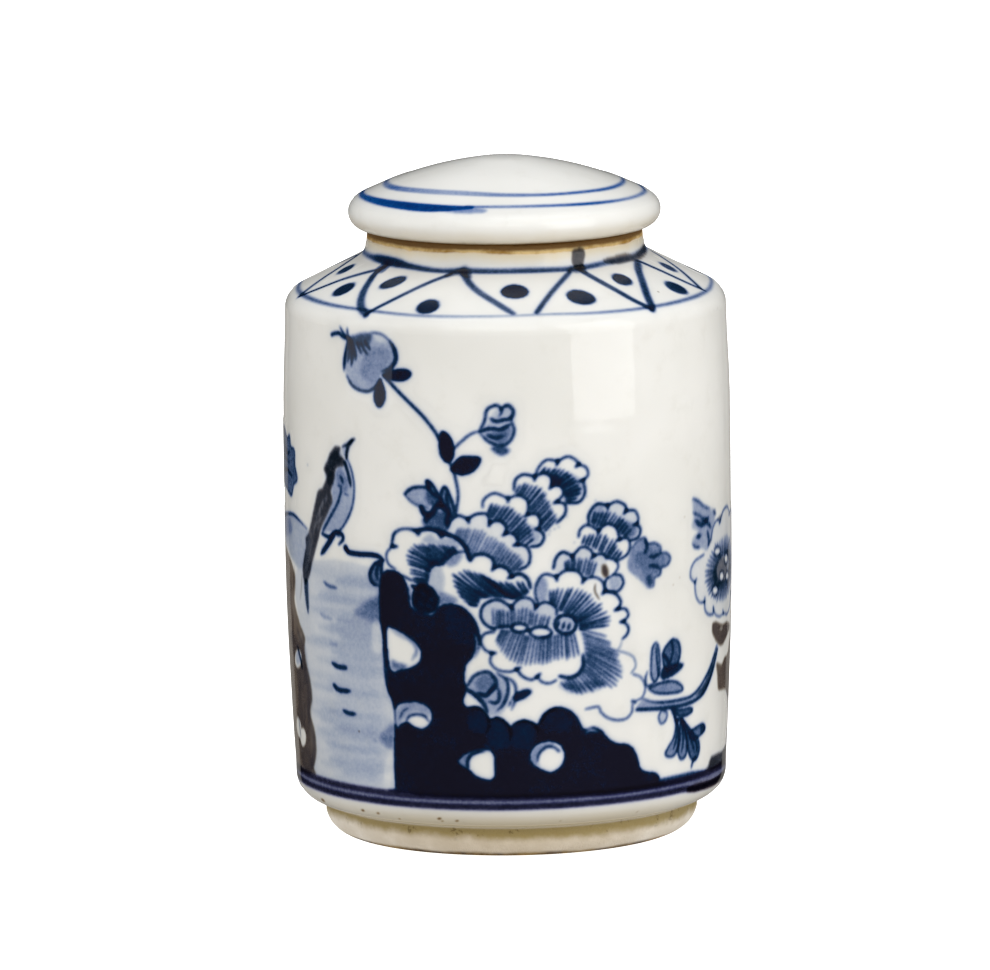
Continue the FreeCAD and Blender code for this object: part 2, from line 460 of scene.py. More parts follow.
def paint_left_rock(sheet):
    """A brown overhanging rock with two worn holes."""
    sheet.begin("painted_rock_left")
    edge = [(-98, 16), (-97, 30), (-99, 42), (-95, 52), (-92, 60), (-88, 64), (-83, 67.5), (-77, 68.3),
        (-72, 66.8), (-68.5, 65), (-66.2, 62.5), (-66.6, 59.5), (-67.4, 56.8), (-66, 54.3), (-63.2, 51.2),
        (-60.8, 48.8), (-61.5, 45.8), (-60.4, 42), (-59.2, 39.5), (-58.4, 35), (-60, 31), (-58, 27),
        (-57.8, 22), (-60, 18), (-62, 16.2)]
    sheet.patch(edge, 0.09, 0.5, soft=0.45)
    sheet.patch([(-74, 48), (-68, 48), (-63, 46), (-61, 40), (-60, 34), (-61, 26), (-61, 17), (-68, 17),
        (-70, 26), (-68, 34), (-69, 41)], 0.09, 0.22, soft=2.4)
    sheet.line([(-66, 50), (-62, 46), (-60.8, 41), (-59.6, 35), (-60.4, 30), (-59, 24), (-60.4, 18)], 2.2,
        0.1, iron=0.08, soft=1.4)
    for k in range(26):
        s, h = -88 + 26 * rng.random(), 20 + 44 * rng.random()
        sheet.line([(s, h), (s + 1.2, h + 3), (s + 1.6, h + 6)], 0.6, 0.05, iron=0.16, soft=0.6)
    for centre, across, tall, turn in (
            ((-66.6, 42.9), 6.4, 4.2, 30), ((-69.6, 26), 5.0, 5.0, 0), ((-66.2, 24.2), 5.4, 4.2, 40),
            ((-85, 36), 6.5, 4.8, -10)):
        sheet.clear(sheet.oval(centre, across, tall, turn))
    sheet.line([(-66.4, 45.8), (-64.6, 43.4), (-63.6, 41)], 1.1, 0.5, iron=0.2)
    sheet.patch(sheet.oval((-66.6, 43), 4.0, 3.0, 30), 0.12, soft=0.4)
    sheet.line([(-69.2, 28.6), (-68.6, 26.4), (-68.2, 24)], 0.5, 0.3, iron=0.3)
    sheet.line([(-87, 34), (-84.5, 36), (-85, 38)], 0.6, 0.7)


def paint_far_leaf(sheet):
    """A lobed leaf that hangs in from the left, and its stem."""
    sheet.begin("painted_leaf_left")
    sheet.leaf([(-82, 95), (-76, 96.5), (-71.5, 94.5), (-69, 95.5), (-67.8, 93), (-65, 92.5), (-64.8, 89),
        (-63.3, 86), (-66, 84.2), (-68, 81.5), (-73, 82.5), (-79, 84), (-85, 89)], 0.32, 0.65, [(-84, 90),
        (-76, 89.5), (-69, 89)])
    for stroke in (
            ([(-76, 93), (-72, 91), (-69, 91.5)], 0.6, 0.7),
            ([(-78, 86), (-72, 87), (-67, 86)], 0.6, 0.7),
            ([(-84, 90), (-92, 92), (-99, 90), (-106, 86)], 0.8, 0.75, (0.8, 0.5)),
            ([(-57.2, 90.2), (-56.9, 90.2)], 0.5, 0.3)):
        sheet.line(*stroke)


def paint_bird(sheet):
    """A small bird that stands on the cliff's edge and looks up."""
    sheet.begin("painted_bird")
    sheet.clear([(-43, 96), (-41, 94), (-39.4, 90), (-39.1, 86), (-41, 80), (-44.4, 75.8), (-50, 76),
        (-54, 80), (-51, 85.6), (-49.6, 90), (-46.4, 95)])
    for places, ink, soft in (
            ([(-41, 88), (-39.6, 86), (-40.4, 81), (-43, 77.6), (-45.6, 76.2), (-50.8, 75.6),
             (-48.8, 79.4), (-46.6, 83), (-46.8, 86), (-45.6, 89.6), (-43.2, 91)], 0.17, 0.4),
            ([(-44.6, 91.4), (-42.6, 91.6), (-41, 87.6), (-42.4, 85.4), (-44.6, 87.4)], 0.15, 0.4),
            ([(-42.8, 96.2), (-41.2, 97.2), (-41.3, 94.6), (-42.4, 94)], 0.15, 0.3)):
        sheet.patch(places, ink, soft=soft)
    sheet.patch([(-43.4, 96), (-45.2, 96), (-47, 94.4), (-48.4, 92), (-49.7, 90.2), (-48.5, 88.8),
        (-49.4, 87), (-50.6, 85.4), (-52.2, 84.8), (-53.6, 81.8), (-54.8, 79), (-55.8, 76.6), (-57.2, 74),
        (-58.8, 72.6), (-58.5, 71), (-59.8, 68), (-60.8, 64.8), (-60, 62), (-58.9, 62), (-57.2, 64),
        (-56, 66.4), (-54.2, 70), (-52.4, 73.6), (-51.4, 76), (-48.6, 79.8), (-46.6, 83.2), (-47.2, 85.4),
        (-46, 87.8), (-45, 91), (-42.4, 91.8), (-42.2, 93.4), (-44, 94.2)], 0.3, 0.46, soft=0.35)
    sheet.patch([(-43.8, 95.6), (-46.6, 94.2), (-49.2, 90.2), (-48.2, 87), (-46.6, 87.6), (-45.4, 91.2),
        (-43, 92.6)], 0.16, 0.1, soft=0.7)
    for k in range(16):
        share = (k + 0.5) / 16
        s = -49 - 4 * share + 2.6 * (rng.random() - 0.5)
        h = 84.6 - 8.6 * share
        sheet.line([(s, h), (s - 0.9, h - 1.6)], 0.4, -0.35, soft=0.4)
    sheet.patch([(-60, 62.4), (-59.7, 58.4), (-58.4, 54.8), (-57.9, 57.6), (-58, 62.6)], 0.4, 0.2,
        soft=0.35)
    for k in range(3):
        sheet.line([(-54.4 - 0.9 * k, 75), (-56.4 - 0.9 * k, 70), (-58.2 - 0.5 * k, 65)], 0.3, -0.3,
            soft=0.4)
    sheet.line([(-42.8, 96.2), (-41.4, 96.8), (-39.8, 98), (-38.8, 98.4)], 0.5, 0.5, (0.4, 1), iron=0.3)
    sheet.line([(-39.3, 98.1), (-40.6, 96.8), (-41.3, 95), (-41.4, 93.6)], 0.8, 0.6, (0.6, 0.6), iron=0.4)
    sheet.line([(-41.6, 94), (-40.3, 92), (-39.4, 89.4), (-39.1, 86.6), (-39.6, 83), (-41, 80),
        (-42.8, 77.6), (-44.8, 75.8)], 0.42, 0.7, (0.6, 0.8))
    sheet.line([(-42, 92.6), (-41, 90.2), (-40.1, 87.2)], 0.9, 0.75, (0.9, 0.4), iron=0.2)
    for stroke in (
            ([(-43.7, 89.4), (-42.7, 87.8)], 0.75, 0.6),
            ([(-42.2, 85.2), (-41.1, 85)], 0.6, 0.6),
            ([(-44.6, 87), (-43.4, 86.6), (-43.8, 84.6), (-45.2, 82), (-47.8, 78.8), (-50.6, 75.4)], 0.6,
             0.55, (0.4, 0.8)),
            ([(-46.4, 75), (-48.2, 73), (-50, 71.2), (-51.6, 69.8)], 1.25, 0.85, (0.9, 0.2)),
            ([(-51, 74.8), (-48, 74.4), (-46.6, 75.4), (-44.8, 76), (-43.2, 75.5), (-43, 74.4),
             (-44.6, 73)], 0.7, 0.85, (0.6, 0.4))):
        sheet.line(*stroke)
    sheet.patch([(-46.4, 75.8), (-44.4, 76.2), (-43.2, 75.2), (-45, 75)], 0.5)


def paint_twig(sheet):
    """A short broken twig from the rock, with one small leaf."""
    sheet.begin("painted_twig")
    sheet.line([(-42.2, 72.5), (-41, 71.6), (-38, 71.5), (-34.5, 71.7), (-32, 71.5), (-30.6, 70.7)], 0.95,
        0.95, (1.3, 0.4))
    sheet.line([(-42.2, 72.6), (-41.4, 71.6)], 1.2, 0.9, (1, 0.6))
    sheet.patch([(-31.2, 70.8), (-33.6, 69.2), (-34.7, 66.8), (-33.6, 65), (-32, 65.2), (-31.4, 67.5)],
        0.22)
    for places, width, ink in (
            ([(-31, 70.8), (-33.4, 69.4), (-34.7, 67), (-33.9, 65.1), (-32.2, 64.6)], 0.65, 0.85),
            ([(-31.2, 70.6), (-32.6, 68.4), (-32.6, 66)], 0.55, 0.75),
            ([(-30.9, 70.7), (-31.3, 69), (-31.2, 66.8)], 0.6, 0.8)):
        sheet.line(places, width, ink)


def paint_pomegranate(sheet):
    """A fruit with its crown, high on a bent stem with paired leaves."""
    sheet.begin("painted_pomegranate")
    for places, ink, soft in (
            ([(-42.3, 116), (-41.4, 113), (-39.6, 110.9), (-37, 110), (-34.6, 110), (-32.4, 111.4),
             (-30.6, 114.6), (-28, 116.6), (-27, 119.4), (-28.2, 122), (-31, 123.5), (-34, 123.5),
             (-37, 122.8), (-40.6, 121.6)], 0.17, 0.4),
            ([(-37, 114), (-33, 112), (-29.6, 116.4), (-28.4, 119.4), (-31, 120.6), (-35, 119)], 0.13,
             1.8),
            ([(-33.6, 123.4), (-30.6, 123.4), (-29, 122.2), (-31.6, 121.6)], -0.6, 0.5),
            ([(-41, 121.9), (-38.6, 122.7), (-36.4, 123.3), (-33.6, 123.5), (-34, 121.8), (-35, 120.6),
             (-36.8, 120.4), (-38.6, 120.6), (-40.4, 120.6)], 0.4, 0.5)):
        sheet.patch(places, ink, soft=soft)
    for start, middle, end, width in (
            ((-38, 121), (-37.4, 119.6), (-36.6, 118.4), 0.6),
            ((-37, 121), (-36, 119.6), (-34.8, 118.4), 0.6),
            ((-35.6, 121.4), (-34.8, 120.4), (-34, 119.6), 0.6),
            ((-40.4, 121.4), (-40.6, 118.4), (-41.2, 116), 0.7),
            ((-40.2, 121.4), (-39.7, 118), (-39.9, 115.2), 0.8),
            ((-39.9, 121.2), (-38.8, 118.6), (-38.6, 116.8), 0.9),
            ((-40.6, 121.6), (-42.8, 122), (-44.6, 123), 0.8),
            ((-41, 121.8), (-42.6, 122.8), (-43.9, 124.3), 0.5),
            ((-40.6, 121.8), (-41.2, 122.8), (-41.3, 124.2), 0.45)):
        sheet.line([start, middle, end], width, 0.75, (1, 0.15))
    for stroke in (
            ([(-44, 122.6), (-45.4, 122.5), (-46.8, 122)], 0.75, 0.8, (0.5, 1)),
            ([(-40.8, 121.4), (-41.7, 118.6), (-42.2, 116.2), (-42.3, 114)], 0.8, 0.75, (0.9, 0.2)),
            ([(-41.3, 113), (-39.6, 111), (-37, 110), (-34.4, 110), (-32.4, 111.2), (-31, 113)], 0.55,
             0.75, (0.5, 1.2)),
            ([(-34, 123.7), (-30.8, 123.5), (-28.4, 122)], 0.45, 0.5),
            ([(-28.6, 122.2), (-27.1, 119.8), (-27, 117.6), (-28.6, 115.6), (-30.6, 114.9)], 0.95, 0.75)):
        sheet.line(*stroke)
    sheet.leaf([(-30.3, 114.1), (-27.8, 115.1), (-24.6, 115.6), (-23, 114.8), (-24.6, 113.4),
        (-27.6, 113.2)], 0.85)
    sheet.leaf([(-31.2, 113), (-32.5, 110), (-32.5, 108), (-31.4, 106.6), (-30.2, 107.8), (-29.9, 110)],
        0.85)
    sheet.line([(-30.3, 114), (-28.4, 112.4), (-25, 109.5), (-20.2, 105.4), (-16.8, 101.4), (-15.2, 98.2),
        (-14, 95)], 0.62, 0.82, (1, 1))
    sheet.leaf([(-15.4, 101.6), (-13.8, 100.8), (-12.7, 98.4), (-12.9, 95.6), (-14.3, 94.8), (-15.7, 97)],
        0.95)
    sheet.leaf([(-13.2, 93), (-11, 95.6), (-8.4, 95.9), (-6.4, 95.5), (-7.8, 93), (-10.6, 91.9)], 0.9)
    sheet.line([(-14.4, 95.6), (-12.9, 93.4), (-12, 90), (-11.6, 87), (-12, 84), (-12.8, 80)], 0.55, 0.65,
        (0.9, 0.6))
    sheet.line([(-12.8, 97.4), (-11, 99.2), (-8.6, 101.2), (-6.4, 102)], 0.5, 0.6)


def paint_bud(sheet):
    """A half-open bud with curled lobes."""
    sheet.begin("painted_bud")
    for places, ink, soft in (
            ([(-6.5, 101.5), (-4.4, 104), (-2.4, 107), (0.4, 107.6), (1.6, 105), (0.8, 101), (-0.6, 98.6),
             (-3.2, 98.8)], 0.1, 0.4),
            ([(-5, 101.2), (-1.8, 102), (0.4, 103), (0.6, 100.6), (-1.6, 99)], 0.22, 0.5),
            ([(-3.8, 98), (-1, 98.4), (0.6, 97.4), (-1.4, 96.2)], 0.45, 0.3)):
        sheet.patch(places, ink, soft=soft)
    for places, width, ink in (
            ([(-6.6, 101.8), (-5.2, 104.4), (-4.6, 107), (-2.4, 108), (-1.2, 106.8), (-1.9, 105.3)], 0.6,
             0.7),
            ([(-1.6, 106.9), (0.2, 108), (1.5, 106.4), (0.6, 104.8), (-1.2, 104.6)], 0.7, 0.75),
            ([(-4, 105), (-2.4, 104.2), (-0.6, 104.8)], 0.7, 0.7),
            ([(-6.4, 101.8), (-4, 102.6), (-1.6, 102.4), (0.8, 103.6)], 0.7, 0.75),
            ([(0.9, 104.6), (1.6, 102), (0.4, 99.4), (-1.8, 98.6), (-4.4, 99.6), (-6.2, 101.4)], 0.6,
             0.65),
            ([(-4.8, 101.2), (-3, 100.4), (-0.8, 100.8)], 0.55, 0.6)):
        sheet.line(places, width, ink)


def paint_leaf_cluster(sheet):
    """Folded leaves over the left flower."""
    sheet.begin("painted_leaf_cluster")
    sheet.patch([(-18.6, 83), (-14.4, 82.4), (-14.6, 78), (-18, 77.8), (-20.4, 80.4)], 0.42, soft=0.4)
    sheet.patch([(-24.8, 86.6), (-22.8, 88.3), (-19.6, 88.6), (-17.2, 87), (-15.6, 85), (-17.5, 84.2),
        (-21, 84)], 0.2)
    sheet.patch([(-19.4, 87.4), (-16.8, 87.2), (-15.4, 84.6), (-18.6, 84.6)], 0.28, soft=0.6)
    for stroke in (
            ([(-24.8, 86.6), (-22.8, 88.2), (-20, 88.6), (-18.4, 88.2)], 0.55, 0.75, (0.6, 1.2)),
            ([(-24.8, 86.6), (-23, 84.9), (-20.6, 83.9), (-18.6, 83.6)], 0.45, 0.5),
            ([(-19, 90), (-17.8, 89.2), (-16.6, 87.2), (-15.2, 84.8)], 0.6, 0.85, (1.2, 0.6)),
            ([(-19.1, 90), (-18.6, 88.2), (-16.8, 86.4)], 0.6, 0.85, (1.2, 0.5))):
        sheet.line(*stroke)
    sheet.patch([(-19.3, 90), (-18.3, 90), (-18.2, 88), (-19, 88.2)], 0.7)
    sheet.patch([(-15.6, 88), (-14.6, 89), (-13.8, 87.5), (-12.8, 84.2), (-14, 82.6), (-15.2, 84.4)],
        0.22)
    for stroke in (
            ([(-15.2, 84.8), (-15.7, 87), (-14.8, 88.8), (-13.9, 87.4), (-12.7, 84), (-13.2, 81.6)], 0.55,
             0.8),
            ([(-14.4, 87.6), (-14.2, 85), (-13.6, 82.6)], 0.5, 0.8),
            ([(-16.4, 85.2), (-14.6, 83.6), (-13.4, 82)], 1.3, 0.9),
            ([(-20.6, 83.8), (-19.8, 82.4), (-18, 82.4), (-17, 84), (-15.4, 84.4)], 1.2, 0.85,
             (0.8, 0.9)),
            ([(-18.2, 81.9), (-19.2, 81.4), (-19.4, 80.4)], 1.1, 0.8),
            ([(-14, 82.4), (-14.2, 80.6), (-13.6, 79.4)], 1.1, 0.85)):
        sheet.line(*stroke)


def paint_left_peony(sheet):
    """Overlapping scalloped petals, painted from the back ones to the front."""
    sheet.begin("painted_peony_left")
    sheet.petal([[(6.3, 91.3), (7.2, 93.4), (9, 95), (11.6, 94.6)], [(11.6, 94.6), (14, 95.6), (16, 94.6),
        (16.6, 93.6)], [(16.6, 93.6), (18.4, 92.8), (18.9, 91), (17.6, 89.8)], [(17.6, 89.8), (18.1, 87),
        (16.6, 84.8), (13.6, 84.8)]], [(12, 85.5), (9.5, 88.5), (8, 91)])
    sheet.patch([(13, 91.6), (16.6, 90.2), (17.4, 87.2), (15, 85.2), (12.8, 86.4)], 0.2, soft=0.8)
    sheet.comb([(8.2, 93.4), (10.6, 92.9), (13, 92.9), (15, 91.6), (16.6, 89.6), (17.2, 87),
        (16.2, 85.4)], [(7.3, 91.8), (9.2, 90.6), (10.6, 89.6), (12, 88.8), (13, 87.4), (13.6, 86),
        (13.4, 85)], 1.15, 0.62)
    sheet.patch([(9.6, 91.4), (11.8, 91), (12.6, 89.4), (11.4, 88.4), (10, 89.4)], 0.6)
    sheet.petal([[(1.4, 88.2), (1.7, 90.5), (3.6, 91.8), (6.2, 91.2)], [(6.2, 91.2), (8.2, 92), (10, 91),
        (10.2, 89)], [(10.2, 89), (12.2, 88.8), (12.9, 87), (11.4, 85.2)], [(11.4, 85.2), (13.2, 84.4),
        (13.2, 82.2), (11.2, 80.2)]], [(8.5, 79), (5.4, 83), (2.4, 86.4)])
    sheet.comb([(2.4, 89.4), (4.2, 89.8), (6.6, 89.2), (8.4, 87.6), (9.6, 85.4), (10.8, 83.2),
        (11.2, 80.8)], [(1.5, 87.8), (2.9, 86.2), (4, 84.8), (5.1, 83.4), (6, 82), (7, 80.4),
        (8.6, 78.2)], 0.98, 0.58)
    sheet.petal([[(-5.9, 84.2), (-5.6, 86), (-3.2, 87.5), (0, 86.3)], [(0, 86.3), (2.4, 86.9),
        (4.5, 85.6), (4.5, 82.5)], [(4.5, 82.5), (6.6, 82.4), (7.4, 80.8), (7, 79)], [(7, 79),
        (8.2, 77.2), (7.2, 75.2), (5, 74.9)]], [(2.6, 76), (0, 79), (-3.6, 82)])
    sheet.patch([(4.6, 80), (6.6, 79), (7.4, 77), (6, 75.4), (4.6, 77)], 0.12, soft=0.5)
    sheet.comb([(-4.2, 85.4), (-2, 84.9), (0.4, 84.2), (2.9, 83), (4.4, 80.8), (5.6, 78.6), (5.8, 76.4)],
        [(-4.8, 83.2), (-3.6, 81.6), (-1.4, 80.6), (0, 79.2), (1.2, 77.8), (2.6, 76.2), (4, 74.9)], 0.98,
        0.58)
    sheet.petal([[(-14.2, 79.2), (-13.4, 81), (-11.6, 82.2), (-9.4, 81.4)], [(-9.4, 81.4), (-7.4, 82.6),
        (-5, 82.6), (-4.2, 80.7)], [(-4.2, 80.7), (-2.2, 81.1), (-0.6, 79.8), (-0.6, 78.2)],
        [(-0.6, 78.2), (1, 78), (2, 76.8), (2, 75.5)], [(2, 75.5), (4, 75), (4.9, 73), (4.4, 70.6),
        (2, 69.4)]], [(-1, 69), (-5.4, 71.4), (-9.6, 73), (-12.8, 77.4)], tint=0.03)
    sheet.patch([(-1, 73.6), (2.8, 72.4), (3.4, 70.6), (0, 69.4), (-4, 71)], 0.12, soft=1.0)
    sheet.comb([(-12, 79.4), (-9, 79.6), (-6.2, 79.2), (-3.2, 77.4), (-1, 76), (1, 74.4), (2.8, 72.8),
        (3.4, 71)], [(-12.8, 77.2), (-10.9, 75), (-8.9, 73), (-5.8, 72.4), (-3.9, 71), (-2.4, 70),
        (-0.4, 69.2), (1.2, 68.8)], 0.84, 0.42, 0.62)
    sheet.clear([(-28.3, 74), (-27.9, 76.8), (-26.2, 78.2), (-22, 78.4), (-18, 78.7), (-13.4, 77.4),
        (-10, 74.6), (-9, 71.7), (-12.4, 70), (-12, 63), (-19.4, 65), (-23.4, 66.4), (-27, 69),
        (-29.5, 70.4), (-29.4, 73)])
    sheet.band([(-28.3, 74.2, 0.5, 0.7), (-27.9, 76.8, 0.6, 0.8), (-26.3, 78.2, 0.5, 0.7),
        (-24, 78.6, 0.45, 0.7), (-22, 78.3, 0.8, 0.9), (-20, 78.7, 0.8, 0.9), (-18, 78.8, 0.8, 0.9),
        (-15.6, 78.1, 1.0, 1.0), (-13.2, 77.4, 0.8, 0.9), (-11.2, 76.2, 0.8, 0.9), (-9.8, 74.4, 0.9, 0.9),
        (-9.2, 72.4, 0.9, 0.9), (-8.9, 71.6, 0.6, 0.8)])
    for nick in (
            [(-22.4, 78.3), (-21.4, 77), (-20.6, 78.2)],
            [(-16.8, 78.2), (-15.8, 76.6), (-14.8, 77.8)]):
        sheet.patch(nick, 0.9, smooth=False)
    for places, width, ink, ends in (
            ([(-28.4, 74.2), (-26.8, 74.2)], 0.75, 0.85, (1, 0.4)),
            ([(-28.4, 74), (-29.6, 72.8), (-29.9, 71.4), (-29.2, 69.8), (-27.4, 68.9)], 0.4, 0.65,
             (0.8, 0.5)),
            ([(-25.6, 67.6), (-24, 66.8), (-22, 66.2), (-20.4, 65.4)], 0.5, 0.6, (0.4, 0.8))):
        sheet.line(places, width, ink, ends)
    sheet.patch([(-20.6, 76), (-18.4, 77.6), (-16.6, 76.2), (-13.6, 76.8), (-11.2, 75.4), (-13, 75.2),
        (-18, 75.4)], 0.16, soft=0.6)
    sheet.comb([(-12.6, 75), (-15, 75.2), (-17.5, 75.2), (-20, 75.3), (-22, 75.6), (-24, 74.8),
        (-25, 73.2), (-24.8, 71.2), (-24, 69), (-23, 67), (-21, 65.5)], [(-12, 73.8), (-13.4, 73),
        (-14.6, 71.8), (-15.2, 70.6), (-16.4, 70.4), (-17.4, 70.4), (-18.2, 69.8), (-18.8, 68.8),
        (-19, 67.4), (-19.2, 66.4), (-19.4, 65.4)], 1.16, 0.5, 0.9, ends=(0.5, 0.8), bend=0.03)
    sheet.line([(-12.2, 74.6), (-14.2, 73.4), (-15.4, 71.6), (-16.4, 71), (-18, 70.8), (-19, 69.4),
        (-19.4, 67)], 1.1, 0.45, soft=0.8)
    sheet.line([(-14.6, 71.6), (-13.2, 73.2), (-11.6, 73.7), (-10, 73.8)], 0.5, 0.65)
    for places, ink, soft in (
            ([(-14.6, 71.6), (-13.4, 73), (-11.4, 73.6), (-11, 72.4), (-12.2, 70.8), (-14, 70.2)], 0.26,
             0.5),
            ([(-18.6, 69.4), (-16.8, 70), (-15.4, 69), (-15.4, 64.8), (-17, 64), (-18.6, 66)], 0.1, 0.8),
            ([(-16.6, 64), (-14.6, 63.8), (-12, 62.4), (-13.4, 61.2), (-16.4, 61.2)], 0.26, 0.6)):
        sheet.patch(places, ink, soft=soft)
    sheet.petal([[(-8.9, 71.6), (-8, 72.9), (-5.8, 73.2), (-3.8, 72.2), (-3.4, 70.2)], [(-3.4, 70.2),
        (-1.8, 70.4), (-0.2, 69.6), (0.6, 68)], [(0.6, 68), (2.4, 68.6), (4.2, 67.4), (4.9, 65.2)]],
        [(1, 63), (-6, 61), (-12, 64), (-12.8, 69.6)], 0.6)
    sheet.comb([(-9.3, 61.2), (-11.2, 62.9), (-12.4, 64.8), (-13.3, 66.9), (-13, 68.6), (-11.9, 69.8),
        (-9.5, 69.5), (-7.1, 68.8), (-4.8, 67.6), (-3.1, 66.7), (-1.4, 66.9), (0.2, 66.6), (1.9, 67.2),
        (3.6, 66.4)], [(-7.6, 60.9), (-7.4, 61.4), (-7.1, 62), (-6.9, 62.7), (-5.6, 63.1), (-3, 63.3),
        (-1.9, 63.3), (-0.6, 63.4), (0.6, 63), (1.4, 62.9), (2.2, 63.2), (3, 63.6), (3.8, 63.8),
        (4.6, 64.4)], 1.34, 0.55, 0.9, ends=(0.55, 0.65), bend=-0.03)
    sheet.line([(-3, 63.4), (0.4, 63.1), (3, 63.6), (4.4, 64.6)], 0.8, 0.4, soft=0.6)
    sheet.patch([(-23.2, 61.4), (-22.8, 64), (-21, 65.8), (-18.4, 65.2), (-16.8, 63), (-17, 60.4),
        (-19, 59), (-21.8, 59.2)], 1.0, 0.15)
    for mark in (
            [(-20.8, 63.8), (-20.2, 63.4)],
            [(-18.6, 62.6), (-18.2, 62)],
            [(-21.4, 61.6), (-20.8, 60.8)],
            [(-19.4, 60.8), (-18.6, 60.6)]):
        sheet.line(mark, 0.5, -0.5, (1, 1), soft=0.5)
    sheet.line([(-24.2, 65), (-24, 63), (-23.8, 61.4)], 0.9, 0.3, soft=0.6)
    sheet.line([(-23.4, 65.4), (-22.2, 64.8), (-21, 65.6)], 0.9, 0.85)


